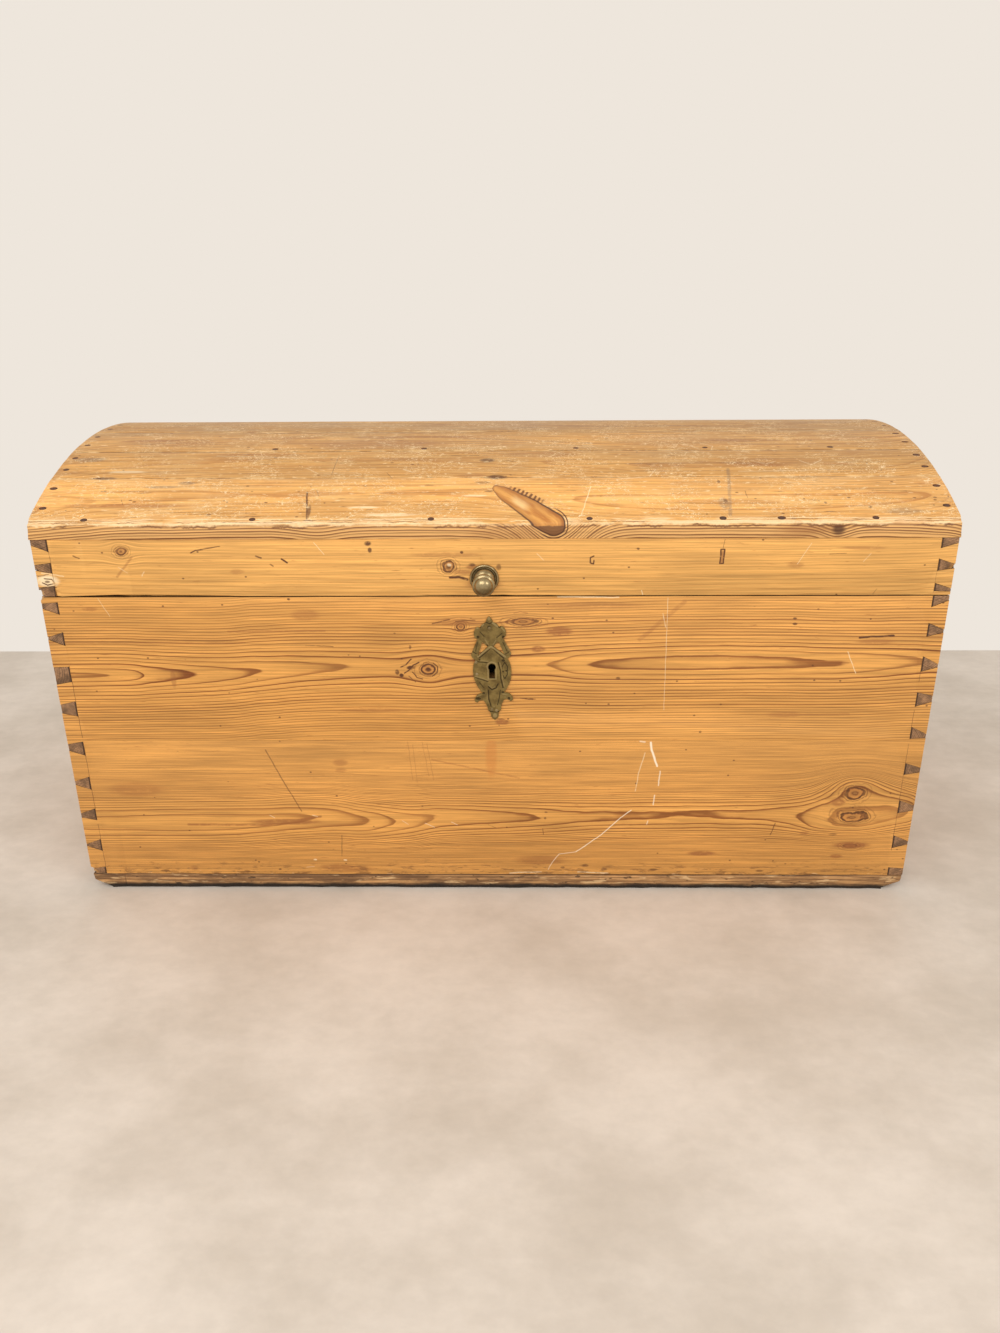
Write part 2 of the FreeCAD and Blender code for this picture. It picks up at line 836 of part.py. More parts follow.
def lock_spring():
    """Bowed leaf from its post down to the foot of the bolt, with an eye round the post."""
    x, z = spring_post_place()
    tip_x = keyhole_x + lock_bolt_foot_right / 2
    tip_z = bolt_bottom + lock_bolt_foot_height + lock_bolt_gap
    bore_radius = lock_post_radius + lock_spring_play
    eye_radius = bore_radius + lock_spring_thickness
    y0 = bolt_near
    start = Vec(x - eye_radius + lock_spring_thickness, y0, z)
    end = Vec(tip_x, y0, tip_z)
    sink = DOWN * lock_spring_bow
    across = Vec(-lock_spring_thickness, 0, 0)
    rise = UP * lock_spring_thickness
    middle = (start + end) * 0.5 + sink
    edges = [
        Part.Arc(start, middle, end).toShape(),
        Part.LineSegment(end, end + rise).toShape(),
        Part.Arc(end + rise, middle + (across + rise) * 0.5, start + across).toShape(),
        Part.LineSegment(start + across, start).toShape(),
    ]
    leaf = Part.Face(Part.Wire(edges)).extrude(TO_BACK * lock_spring_width)
    eye = rod(eye_radius, Vec(x, y0, z), TO_BACK, lock_spring_width)
    hole = rod(bore_radius, Vec(x, y0 - overrun, z), TO_BACK, lock_spring_width + 2 * overrun)
    return joined(eye, [leaf]).cut(hole)


def lock_drill_pin():
    start = Vec(keyhole_x, lock_face + lock_plate_thickness + lock_case_depth - lock_case_wall, key_height)
    return rod(lock_drill_pin_radius, start, TO_FRONT, lock_drill_pin_length)


def staple_nail_seats():
    x = staple_plate_width / 2 - lock_nail_inset
    z = lid_base + staple_plate_height / 2
    return [Vec(keyhole_x + side * x, lock_face + staple_plate_thickness, z) for side in (LEFT, RIGHT)]


def lock_staple():
    half = staple_width / 2
    near = lock_plate_thickness + staple_gap_to_plate
    far = near + 2 * staple_leg + staple_eye
    eye_low = bolt_top - lock_bolt_bar_height - staple_below_bar
    plate = lock_block(-staple_plate_width / 2, staple_plate_width / 2, 0, staple_plate_thickness,
                       lid_base, lid_base + staple_plate_height)
    knee = lock_block(-half, half, 0, far, lid_base, lid_base + staple_knee_height)
    loop = lock_block(-half, half, near, far, eye_low - staple_foot, lid_base)
    eye = lock_block(-half - overrun, half + overrun, near + staple_leg, far - staple_leg,
                     eye_low, lid_base)
    holes = [shank_hole(seat, TO_BACK, lock_nail_length) for seat in staple_nail_seats()]
    return cut_by(joined(plate, [knee, loop.cut(eye)]), holes)


# Knob: the pull and its shank are one turning, on a separate rosette

def knob_seat():
    return Vec(knob_x, -half_depth, lid_base + knob_above_seam)


def knob_rosette():
    bead = (rosette_radius + rosette_groove_radius) / 2
    boss = (rosette_groove_radius + rosette_top_radius) / 2
    swell = rosette_edge + (rosette_height - rosette_edge) * rosette_swell_share
    outline = (
        ((0, knob_shank_radius + knob_shank_play),),
        ((0, rosette_radius),),
        ((rosette_edge, rosette_radius),),
        ((rosette_bead_height, bead), (rosette_edge, rosette_groove_radius)),
        ((swell, boss), (rosette_height, rosette_top_radius)),
        ((rosette_height, knob_shank_radius + knob_shank_play),),
    )
    return turned(outline, knob_seat(), TO_FRONT)


def knob():
    neck_end = rosette_height + knob_neck_length
    rim_start = neck_end + knob_back_height
    rim_end = rim_start + knob_rim_height
    dome_middle = knob_dome_radius * math.cos(math.pi / 4)
    shank_end = face_thickness + washer_thickness + nut_thickness + knob_shank_spare
    flare = (rosette_top_radius + knob_rim_radius) / 2
    outline = (
        ((-shank_end, 0),),
        ((-shank_end, knob_shank_radius),),
        ((rosette_height, knob_shank_radius),),
        ((rosette_height, rosette_top_radius),),
        ((rosette_height + knob_neck_length / 2, knob_neck_radius), (neck_end, rosette_top_radius)),
        ((neck_end + knob_back_height * knob_flare_share, flare), (rim_start, knob_rim_radius)),
        ((rim_end - knob_rim_height * knob_flare_share, knob_rim_radius), (rim_end, knob_dome_radius)),
        ((rim_end + dome_middle, dome_middle), (rim_end + knob_dome_radius, 0)),
    )
    return turned(outline, knob_seat(), TO_FRONT)


def knob_inside():
    return Vec(knob_x, -inner_half_depth, lid_base + knob_above_seam)


def knob_washer():
    bore = rod(knob_shank_radius + knob_shank_play, knob_inside(), TO_BACK, washer_thickness)
    return rod(washer_radius, knob_inside(), TO_BACK, washer_thickness).cut(bore)


def knob_nut():
    start = knob_inside() + TO_BACK * washer_thickness
    half = nut_width / 2
    body = block(start.x - half, start.x + half, start.y, start.y + nut_thickness,
                 start.z - half, start.z + half)
    return body.cut(rod(knob_shank_radius + knob_shank_play, start, TO_BACK, nut_thickness))


def knob_hole():
    start = knob_seat() - TO_BACK * overrun
    return rod(knob_shank_radius + knob_shank_play, start, TO_BACK, face_thickness + 2 * overrun)


# Chest

floor_holes = set_holes(floor_nail_places(), floor_nail_length)
chest_strap_holes = [shank_hole(seat, TO_BACK, strap_nail_length) for seat in chest_strap_seats()]
lock_nail_holes = [shank_hole(seat, TO_BACK, lock_nail_length) for seat in lock_nail_seats()]
front_holes = floor_holes + lock_nail_holes + escutcheon_pin_holes()
front_holes.append(keyhole(keyhole_board_room, -half_depth - overrun, lock_face + overrun))
back_holes = floor_holes + chest_strap_holes

save("front_upper_board", [cut_by(face_board(FRONT, face_joint, seam_height), front_holes)])
save("front_lower_board", [cut_by(face_board(FRONT, floor_thickness, face_joint), front_holes)])
save("back_upper_board", [cut_by(face_board(BACK, face_joint, seam_height), back_holes)])
save("back_lower_board", [cut_by(face_board(BACK, floor_thickness, face_joint), back_holes)])
for side, side_name in ((LEFT, "left"), (RIGHT, "right")):
    save(side_name + "_end_upper_board", [end_board(side, end_joint, seam_height)])
    save(side_name + "_end_lower_board", [cut_by(end_board(side, floor_thickness, end_joint), floor_holes)])
for index, board_name in enumerate(("front", "middle", "back")):
    save("floor_" + board_name + "_board", [cut_by(floor_board(index), floor_holes)])
save("floor_nails", set_nails(floor_nail_places(), floor_nail_length))
save("escutcheon", [escutcheon()])
save("escutcheon_pins", escutcheon_pins())

# Lock

save("lock_plate", [lock_plate()])
save("lock_case", [lock_case()])
save("lock_posts", lock_guide_posts())
save("lock_bolt", [lock_bolt()])
save("lock_spring", [lock_spring()])
save("lock_drill_pin", [lock_drill_pin()])
save("lock_nails", proud_nails(lock_nail_seats(), TO_BACK, lock_nail_length,
                               lock_nail_head_radius, lock_nail_head_height))

# Hinges

for side, side_name in ((LEFT, "left"), (RIGHT, "right")):
    save(side_name + "_hinge_chest_strap", [cut_by(hinge_chest_strap(side), chest_strap_holes)])
    save(side_name + "_hinge_pin", [hinge_pin(side)])
save("hinge_chest_nails", proud_nails(chest_strap_seats(), TO_BACK, strap_nail_length,
                                      strap_nail_head_radius, strap_nail_head_height))

# Lid

rail_holes = set_holes(rail_nail_places(), rail_nail_length)
batten_holes = set_holes(batten_nail_places(), batten_nail_length)
dome_holes = set_holes(dome_end_nail_places(), dome_nail_length) + rail_holes + batten_holes
lid_strap_holes = [shank_hole(seat, TO_BACK, strap_nail_length) for seat in lid_strap_seats()]
staple_holes = [shank_hole(seat, TO_BACK, lock_nail_length) for seat in staple_nail_seats()]

save("lid_front_rail", [cut_by(lid_rail(FRONT), dome_holes + staple_holes + [knob_hole()])])
save("lid_back_rail", [cut_by(lid_rail(BACK), dome_holes + lid_strap_holes)])
save("lid_left_end", [cut_by(lid_end(LEFT), dome_holes)])
save("lid_right_end", [cut_by(lid_end(RIGHT), dome_holes)])
for index in range(len(plank_bounds()) + 1):
    save("dome_plank_" + str(index + 1), [cut_by(dome_plank(index), dome_holes)])
save("dome_front_batten", [cut_by(dome_batten(FRONT), batten_holes)])
save("dome_back_batten", [cut_by(dome_batten(BACK), batten_holes)])
save("dome_nails", set_nails(dome_end_nail_places(), dome_nail_length)
     + set_nails(rail_nail_places(), rail_nail_length)
     + set_nails(batten_nail_places(), batten_nail_length))
for side, side_name in ((LEFT, "left"), (RIGHT, "right")):
    save(side_name + "_hinge_lid_strap", [cut_by(hinge_lid_strap(side), lid_strap_holes)])
save("hinge_lid_nails", proud_nails(lid_strap_seats(), TO_BACK, strap_nail_length,
                                    strap_nail_head_radius, strap_nail_head_height))
save("lock_staple", [lock_staple()])
save("lock_staple_nails", proud_nails(staple_nail_seats(), TO_BACK, lock_nail_length,
                                      lock_nail_head_radius, lock_nail_head_height))
save("knob_rosette", [knob_rosette()])
save("knob", [knob()])
save("knob_washer", [knob_washer()])
save("knob_nut", [knob_nut()])
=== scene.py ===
import math
import random

import bpy
from mathutils import Matrix, Vector


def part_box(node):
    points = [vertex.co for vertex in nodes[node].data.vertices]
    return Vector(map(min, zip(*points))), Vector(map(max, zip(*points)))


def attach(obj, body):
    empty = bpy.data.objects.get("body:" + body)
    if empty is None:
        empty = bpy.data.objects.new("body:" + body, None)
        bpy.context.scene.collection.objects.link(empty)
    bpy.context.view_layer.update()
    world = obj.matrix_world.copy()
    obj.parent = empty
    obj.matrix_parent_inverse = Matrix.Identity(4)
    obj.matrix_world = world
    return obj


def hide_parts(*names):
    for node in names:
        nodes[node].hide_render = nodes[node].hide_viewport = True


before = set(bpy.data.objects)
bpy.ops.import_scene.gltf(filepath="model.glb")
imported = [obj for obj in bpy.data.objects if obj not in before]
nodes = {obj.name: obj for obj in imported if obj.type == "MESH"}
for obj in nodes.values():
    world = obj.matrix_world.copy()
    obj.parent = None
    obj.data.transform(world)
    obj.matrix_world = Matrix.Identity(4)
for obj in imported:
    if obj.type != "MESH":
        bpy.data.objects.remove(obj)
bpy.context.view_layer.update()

mm = 0.001


# Trunk's main places, read from the frame

lid_low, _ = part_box("lid_front_rail")
body_low, body_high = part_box("front_upper_board")
_, crown_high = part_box("dome_plank_4")
first_low, first_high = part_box("dome_plank_1")
_, end_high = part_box("left_end_lower_board")

front_y = body_low.y
half_length = body_high.x
inner_half_length = -end_high.x
seam = body_high.z
rail_top = first_low.z
board_thickness = half_length - inner_half_length

# Dome's circle: its front arris and its crown give the radius
sawn_edge_height = 18.2 * mm
arris_y = first_low.y
arris_z = rail_top + sawn_edge_height
crown_z = crown_high.z
dome_radius = (arris_y ** 2 + (crown_z - arris_z) ** 2) / (2 * (crown_z - arris_z))
dome_centre_z = crown_z - dome_radius
arris_angle = math.asin(arris_y / dome_radius)

# Angles of the joints between the planks, and their places round the arc from the front arris
plank_lows = [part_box("dome_plank_" + str(index))[0].y for index in (2, 3, 4)]
plank_joints = [math.asin(low / dome_radius) for low in plank_lows]
plank_joints += [-angle for angle in reversed(plank_joints)]
plank_ends = [(angle - arris_angle) * dome_radius / mm for angle in [arris_angle, *plank_joints, -arris_angle]]
plank_count = len(plank_ends) - 1
outer_planks = (0, plank_count - 1)


# Shader recipes: every material is wired through these few words

def linear(colour):
    """Screen colour, 0 to 255, as the shader's linear colour."""
    out = []
    for value in colour:
        value /= 255
        out.append(value / 12.92 if value <= 0.04045 else ((value + 0.055) / 1.055) ** 2.4)
    return (*out, 1)


class Wire:
    """A shader value that takes part in sums, products and powers."""

    def __init__(self, recipe, socket):
        self.recipe = recipe
        self.socket = socket

    def __neg__(self):
        return self.recipe.math("MULTIPLY", self, -1)


def sign_method(operation):
    return lambda self, other: self.recipe.math(operation, self, other)


for sign, operation in (("add", "ADD"), ("sub", "SUBTRACT"), ("mul", "MULTIPLY"), ("truediv", "DIVIDE"),
                        ("pow", "POWER")):
    setattr(Wire, "__" + sign + "__", sign_method(operation))


class Recipe:
    """The shader nodes of one material."""

    def __init__(self, name):
        self.material = bpy.data.materials.new(name)
        self.material.use_nodes = True
        self.tree = self.material.node_tree
        self.tree.nodes.clear()
        coordinates = self.add("TexCoord")
        self.place = coordinates.outputs["Object"]
        self.facing = coordinates.outputs["Normal"]

    def add(self, kind, inputs=None, **settings):
        node = self.tree.nodes.new("ShaderNode" + kind)
        for key, value in settings.items():
            setattr(node, key, value)
        for key, value in (inputs or {}).items():
            self.feed(node.inputs[key], value)
        return node

    def feed(self, socket, value):
        if isinstance(value, Wire):
            value = value.socket
        if isinstance(value, bpy.types.NodeSocket):
            self.tree.links.new(value, socket)
        else:
            socket.default_value = value

    def math(self, operation, *values):
        return Wire(self, self.add("Math", dict(enumerate(values)), operation=operation).outputs[0])

    def vector_math(self, operation, *values):
        return self.add("VectorMath", dict(enumerate(values)), operation=operation).outputs["Vector"]

    def split(self, vector):
        node = self.add("SeparateXYZ", {0: vector})
        return [Wire(self, socket) for socket in node.outputs]

    def join(self, x, y, z):
        return self.add("CombineXYZ", {0: x, 1: y, 2: z}).outputs[0]

    def length(self, vector):
        return Wire(self, self.add("VectorMath", {0: vector}, operation="LENGTH").outputs["Value"])

    def dot(self, first, second):
        return Wire(self, self.add("VectorMath", {0: first, 1: second}, operation="DOT_PRODUCT").outputs["Value"])

    def stretched(self, vector, scale):
        return self.vector_math("MULTIPLY", vector, scale)

    def along_line(self, place, start, end):
        """Share of the line, 0 to 1, at its point nearest to place, then place seen from start, then the gap."""
        line = end - start
        offset = self.vector_math("SUBTRACT", place, start)
        share = self.dot(offset, line / line.length_squared)
        share = self.math("MINIMUM", self.math("MAXIMUM", share, 0.0), 1.0)
        near = self.add("VectorMath", {0: line, "Scale": share}, operation="SCALE").outputs[0]
        return share, offset, self.length(self.vector_math("SUBTRACT", offset, near))

    def noise(self, vector, scale, detail=2.0, roughness=0.5, distortion=0.0):
        """scale is cycles per metre along the three axes."""
        node = self.add("TexNoise", {"Vector": self.stretched(vector, scale), "Scale": 1.0, "Detail": detail,
                                     "Roughness": roughness, "Distortion": distortion})
        return Wire(self, node.outputs["Fac"])

    def patches(self, vector, scale, detail, roughness, low, high, floor=0.0, top=1.0):
        """Soft patches where the noise goes from low to high."""
        return self.rise(self.noise(vector, scale, detail, roughness), low, high, floor, top)

    def shake(self, vector, scale, amount):
        """vector moved about by noise, up to amount along its three axes."""
        node = self.add("TexNoise", {"Vector": self.stretched(vector, scale), "Scale": 1.0, "Detail": 2.0})
        middle = self.vector_math("SUBTRACT", node.outputs["Color"], (0.5, 0.5, 0.5))
        return self.vector_math("ADD", vector, self.stretched(middle, amount))

    def cells(self, vector, scale, output="Distance"):
        node = self.add("TexVoronoi", {"Vector": self.stretched(vector, scale), "Scale": 1.0})
        return Wire(self, node.outputs[output])

    def chance(self, number):
        node = self.add("TexWhiteNoise", {"W": number}, noise_dimensions="1D")
        return Wire(self, node.outputs["Value"])

    def rise(self, value, low, high, floor=0.0, top=1.0):
        """Smooth step from floor to top as value goes from low to high."""
        node = self.add("MapRange", {"Value": value, "From Min": low, "From Max": high, "To Min": floor,
                                     "To Max": top}, interpolation_type="SMOOTHSTEP")
        return Wire(self, node.outputs[0])

    def off_zero(self, value, low, high, floor=0.0, top=1.0):
        """rise of the value's distance from zero."""
        return self.rise(self.math("ABSOLUTE", value), low, high, floor, top)

    def ramp(self, value, stops):
        """stops are (place, value 0 to 1)."""
        node = self.add("ValToRGB", {0: value})
        elements = node.color_ramp.elements
        while len(elements) < len(stops):
            elements.new(0.5)
        for element, (place, level) in zip(elements, stops):
            element.position = place
            element.color = (level, level, level, 1)
        return Wire(self, node.outputs[0])

    def along(self, value, points):
        """Smooth curve through (place, height) points, flat beyond its ends."""
        places = [place for place, _ in points]
        heights = [height for _, height in points]
        span = places[-1] - places[0]
        low, high = min(heights), max(heights)
        reach = (high - low) or 1
        node = self.add("FloatCurve", {"Value": (value - places[0]) / span})
        curve = node.mapping.curves[0]
        while len(curve.points) < len(points):
            curve.points.new(0.5, 0.5)
        for point, (place, height) in zip(curve.points, points):
            point.location = ((place - places[0]) / span, (height - low) / reach)
        node.mapping.update()
        return Wire(self, node.outputs[0]) * reach + low

    def mix(self, amount, under, over, blend="MIX"):
        node = self.add("Mix", data_type="RGBA", blend_type=blend, clamp_factor=True)
        self.feed(node.inputs[0], amount)
        self.feed(node.inputs[6], under)
        self.feed(node.inputs[7], over)
        return node.outputs[2]

    def stain(self, colour, amount, name):
        """colour under a layer of a named tone."""
        return self.mix(amount, colour, shade(name))

    def tinted(self, colour, tint):
        return self.mix(1.0, colour, self.join(tint, tint, tint), "MULTIPLY")

    def most(self, *values):
        result = values[0]
        for value in values[1:]:
            result = self.math("MAXIMUM", result, value)
        return result

    def bump(self, height, depth, strength=1.0):
        """height 0 to 1, and depth the real height of 1."""
        return self.add("Bump", {"Height": height, "Distance": depth, "Strength": strength}).outputs[0]

    def finish(self, colour, roughness, normal, **sockets):
        shader = self.add("BsdfPrincipled", {"Base Color": colour, "Roughness": roughness, "Normal": normal})
        for key, value in sockets.items():
            self.feed(shader.inputs[key.replace("_", " ")], value)
        out = self.add("OutputMaterial")
        self.tree.links.new(shader.outputs[0], out.inputs[0])
        return self.material


# Marks on a face: soft spots and strokes in the plane of the face, given in millimetres

def spot(recipe, face, centre, radii, soft=0.35):
    """1 inside an ellipse, 0 outside."""
    offset = recipe.vector_math("SUBTRACT", face, (centre[0] * mm, centre[1] * mm, 0))
    size = recipe.length(recipe.stretched(offset, (1 / (radii[0] * mm), 1 / (radii[1] * mm), 0)))
    return recipe.rise(size, 1 + soft, 1 - soft)


def stroke(recipe, face, start, end, width, soft=0.6):
    """1 along a line from start to end."""
    _, _, gap = recipe.along_line(face, Vector((*start, 0)) * mm, Vector((*end, 0)) * mm)
    return recipe.rise(gap, width * mm * (1 + soft) / 2, width * mm * (1 - soft) / 2)


def marks_mask(recipe, face, rows):
    """rows are (strength, width, point, point, ...) strokes or (strength, centre, radii) spots."""
    total = 0.0
    for strength, *shape in rows:
        if isinstance(shape[0], tuple):
            total = recipe.most(total, spot(recipe, face, *shape) * strength)
        else:
            width, *points = shape
            for start, end in zip(points, points[1:]):
                total = recipe.most(total, stroke(recipe, face, start, end, width) * strength)
    return total


# Tones of wood, marks and metals, as screen colours

pine_tones = {
    "face": ((230, 168, 88), (130, 70, 26)),
    "rail": ((232, 176, 98), (168, 106, 46)),
    "dome": ((230, 173, 97), (184, 120, 56)),
    "inside": ((206, 164, 112), (166, 118, 72)),
    "floor": ((204, 156, 102), (98, 60, 34)),
}
tones = {
    "end grain": (156, 118, 84), "end ring": (66, 42, 27), "dark": (92, 54, 28), "brown": (150, 92, 48),
    "grey": (128, 104, 84), "pale": (248, 226, 186), "white": (252, 240, 216), "orange": (196, 116, 48),
    "fleck": (146, 86, 38), "knot edge": (186, 122, 60), "knot heart": (118, 74, 40), "knot ring": (112, 62, 30),
    "knot rim": (70, 38, 20), "joint shadow": (48, 30, 20), "joint grime and shade": (82, 57, 38), "spike gold": (226, 164, 84),
    "spike streak": (182, 114, 48), "spike side": (148, 88, 36), "spike shine": (250, 214, 152),
    "spike tip": (108, 68, 36), "spike tick": (84, 48, 26), "spike blush": (176, 116, 60), "spike rim": (80, 46, 24),
    "sawn early": (232, 180, 112), "sawn late": (104, 54, 20), "sawn dirt": (146, 92, 50),
    "sawn smear": (142, 88, 46), "sawn knot": (78, 46, 28), "haze": (242, 202, 142), "blotch": (178, 122, 66),
    "scratch": (252, 230, 186), "scuff": (250, 222, 172), "crack": (112, 66, 30), "joint edge": (250, 216, 158),
    "joint line": (112, 70, 36), "arris wear": (244, 204, 154), "arris": (250, 218, 168),
    "arris split": (108, 64, 32), "arris line": (252, 222, 174), "edge dirt": (112, 72, 40),
    "edge rub": (240, 200, 146), "foot streak": (84, 52, 30), "foot grime": (92, 64, 42), "foot rub": (226, 190, 140),
    "foot hole": (48, 32, 22), "foot painted shadow": (22, 16, 12), "foot top": (74, 46, 28), "brass rub": (178, 158, 112),
    "iron pit": (34, 28, 26), "nail stain": (74, 46, 29), "nail stain edge": (150, 98, 58),
    "floor light": (218, 210, 201), "floor dark": (197, 188, 177), "backdrop": (238, 230, 220),
}


def shade(name):
    return linear(tones[name])


class Board:
    """How a board's length, width and depth lie in the trunk."""

    def __init__(self, along, across, through, face_place, inwards):
        self.along, self.across, self.through = along, across, through
        self.face_place, self.inwards = face_place, inwards

    def wires(self, recipe):
        axes = dict(zip("xyz", recipe.split(recipe.place)))
        depth = (axes[self.through] - self.face_place) * self.inwards
        return axes[self.along], axes[self.across], depth


class DomeBoard(Board):
    """A plank of the dome: its width runs round the arc from the front arris."""

    def __init__(self):
        super().__init__("x", "y", "z", 0.0, 1)

    def wires(self, recipe):
        x, y, z = recipe.split(recipe.place)
        height = z - dome_centre_z
        angle = recipe.math("ARCTAN2", y, height)
        radius = recipe.length(recipe.join(0.0, y, height))
        return x, (angle - arris_angle) * dome_radius, -radius + dome_radius


def growth_rings(recipe, bent, pith, core, growth, seed):
    """Late wood of the rings round the pith, wide near it and closer outwards, and how near the pith is."""
    bent_length, bent_width, bent_depth = recipe.split(bent)
    pith_depth = recipe.along(bent_length, [(row[0] * mm, core * mm * row[1] ** (1 / growth)) for row in pith])
    pith_width = recipe.along(bent_length, [(row[0] * mm, row[2] * mm) for row in pith])
    gap = recipe.join(bent_width - pith_width, pith_depth - (bent_depth - seed), 0.0)
    radius = recipe.length(gap)
    rings = (radius / (core * mm)) ** growth
    rings = rings + recipe.noise(recipe.join(rings * 0.7, bent_length * 0.6, seed), (1, 1, 1), 1.0) * 0.9 - 0.45
    number = recipe.math("FLOOR", rings)
    phase = rings - number
    strength = recipe.rise(recipe.chance(number + seed * 7), 0.0, 1.0, 0.62, 1.0)
    late = recipe.ramp(phase, [(0.0, 0.12), (0.03, 0.0), (0.4, 0.04), (0.68, 0.26), (0.85, 0.94), (0.96, 1.0),
                               (1.0, 0.12)])
    near_pith = recipe.rise(radius, 92 * mm, 45 * mm, 0.62, 1.0)
    return late * strength, near_pith


def draw_knots(recipe, sizes, cloud, fibre, colour, height):
    """Knots with their own rings and a dark rim."""
    for size in sizes:
        wobbly = size + (cloud - 0.5) * 1.2
        ring = recipe.rise(recipe.math("PINGPONG", wobbly * 2.1, 0.5), 0.26, 0.46)
        heart = recipe.mix(recipe.rise(size, 0.7, 0.1), shade("knot edge"), shade("knot heart"))
        colour = recipe.mix(recipe.rise(wobbly, 1.15, 0.8) * 0.6, colour, heart)
        colour = recipe.stain(colour, ring * recipe.rise(wobbly, 2.3, 1.0) * 0.7, "knot ring")
        rim = recipe.off_zero(wobbly - 0.85, 0.2, 0.04) * recipe.rise(fibre, 0.3, 0.6, 0.5, 1.0)
        colour = recipe.stain(colour, rim * 0.9, "knot rim")
        height = height - rim * 0.8
    return colour, height


def pine(name, tone, board, pith, core=6.5, growth=1.2, contrast=1.0, knots=(), marks=(), seed=0.0, worn=None,
         bend=2.2):
    """pith holds (place along, ring number at the face over the pith, place across), in millimetres.
    knots are (along, across, radius along, radius across, how far the grain bends round it).
    core is the first ring's radius in millimetres, and a larger growth packs the outer rings closer.
    seed gives the board wood of its own, and bend is how far its grain wanders, in millimetres."""
    recipe = Recipe(name)
    length, width, depth = board.wires(recipe)
    grain = recipe.join(length, width, depth + seed)
    face = recipe.join(length, width, 0.0)

    # The grain bends round each knot
    bent = recipe.shake(grain, (9, 34, 34), (0, bend * mm, bend * mm))
    bent = recipe.shake(bent, (45, 160, 160), (0, 0.5 * mm, 0.5 * mm))
    knot_sizes = []
    for place_along, place_across, radius_along, radius_across, reach in knots:
        offset = recipe.vector_math("SUBTRACT", bent, (place_along * mm, place_across * mm, seed))
        size = recipe.length(recipe.stretched(offset, (1 / (radius_along * mm), 1 / (radius_across * mm), 0)))
        pull = recipe.math("EXPONENT", -((size / reach) ** 2.0))
        knot_sizes.append(size)
        push = recipe.join(0.0, pull * recipe.split(offset)[1] * -0.88, 0.0)
        bent = recipe.vector_math("ADD", bent, push)

    end_late, near_pith = growth_rings(recipe, bent, pith, core, growth, seed)
    late = end_late * near_pith * contrast

    # Colour: rings, fibres, slow patches
    early_tone, late_tone = (linear(screen) for screen in pine_tones[tone])
    colour = recipe.mix(late, early_tone, late_tone)
    fibre = recipe.noise(bent, (10, 620, 620), 2.0, 0.6)
    band = recipe.noise(bent, (3, 210, 210), 3.0, 0.6)
    patch = recipe.noise(grain, (3.5, 9, 9), 4.0, 0.6)
    tint = recipe.rise(fibre, 0.27, 0.73, 0.77, 1.14) * recipe.rise(band, 0.32, 0.7, 0.86, 1.09)
    tint = tint * recipe.rise(patch, 0.3, 0.7, 0.86, 1.08)
    colour = recipe.tinted(colour, tint)

    # Short dark flecks and pin pricks along the grain
    fleck = recipe.noise(recipe.vector_math("ADD", bent, (3.1, 0, 0)), (50, 560, 560), 2.0, 0.6)
    fleck = recipe.rise(fleck, 0.64, 0.76) * recipe.rise(patch, 0.36, 0.6)
    speck = recipe.cells(face, (46, 62, 1))
    speck = recipe.rise(speck, 0.085, 0.045) * recipe.rise(recipe.cells(face, (46, 62, 1), "Color"), 0.48, 0.53)
    colour = recipe.stain(colour, fleck * 0.6, "fleck")
    colour = recipe.stain(colour, speck * 0.75, "dark")

    cloud = recipe.noise(grain, (70, 70, 70), 3.0, 0.6)
    height = late * 0.5 + fibre * 0.25 - fleck * 0.5 - speck
    colour, height = draw_knots(recipe, knot_sizes, cloud, fibre, colour, height)

    # Marks of use, one tone at a time: white ones are fresh, the others partly rubbed off
    shaken = recipe.shake(face, (90, 90, 1), (1.8 * mm, 1.8 * mm, 0))
    rubbed_off = recipe.patches(face, (120, 200, 1), 3.0, 0.6, 0.3, 0.5, 0.6, 1.25)
    for stain, rows in marks:
        broken = 1.0 if stain == "white" else rubbed_off
        colour = recipe.stain(colour, marks_mask(recipe, shaken, rows) * broken, stain)

    # End grain is darker and shows the rings as fine arcs
    facing = dict(zip("xyz", recipe.split(recipe.facing)))
    endwise = recipe.off_zero(facing[board.along], 0.55, 0.85)
    pores = recipe.noise(grain, (500, 500, 500), 3.0, 0.7)
    end_colour = recipe.mix(recipe.rise(end_late, 0.15, 0.6) * 0.8, shade("end grain"), shade("end ring"))
    end_tint = recipe.rise(pores, 0.3, 0.7, 0.7, 1.2) * recipe.rise(cloud, 0.32, 0.68, 0.56, 1.22)
    colour = recipe.mix(endwise, colour, recipe.tinted(end_colour, end_tint))
    height = height + endwise * pores
    if board.along == "y":
        inner_edge = recipe.rise(depth + cloud * 1.6 * mm, board_thickness - 1.8 * mm,
                                 board_thickness - 0.4 * mm) * endwise
        colour = recipe.stain(colour, inner_edge * 0.9, "joint shadow")

    # Old grime and painted shade on the faces that meet in the joints and at the seam
    if board.across == "z":
        grime = recipe.off_zero(facing["z"], 0.6, 0.9) * recipe.rise(cloud, 0.1, 0.6, 0.55, 0.9)
        colour = recipe.stain(colour, grime, "joint grime and shade")

    if worn:
        colour, height = worn(recipe, face, grain, colour, height)
    roughness = recipe.rise(patch, 0.3, 0.7, 0.42, 0.58) + endwise * 0.2
    return recipe.finish(colour, roughness, recipe.bump(height, 0.25 * mm, 0.6), Specular_IOR_Level=0.4)


# Boards as they lie, and the marks of use on each

front_board = Board("x", "z", "y", front_y, 1)
back_board = Board("x", "z", "y", -front_y, -1)
left_board = Board("y", "z", "x", -half_length, 1)
right_board = Board("y", "z", "x", half_length, -1)
floor_board = Board("x", "y", "z", 0.0, 1)
inside_board = Board("x", "y", "z", crown_high.z, -1)
dome_board = DomeBoard()

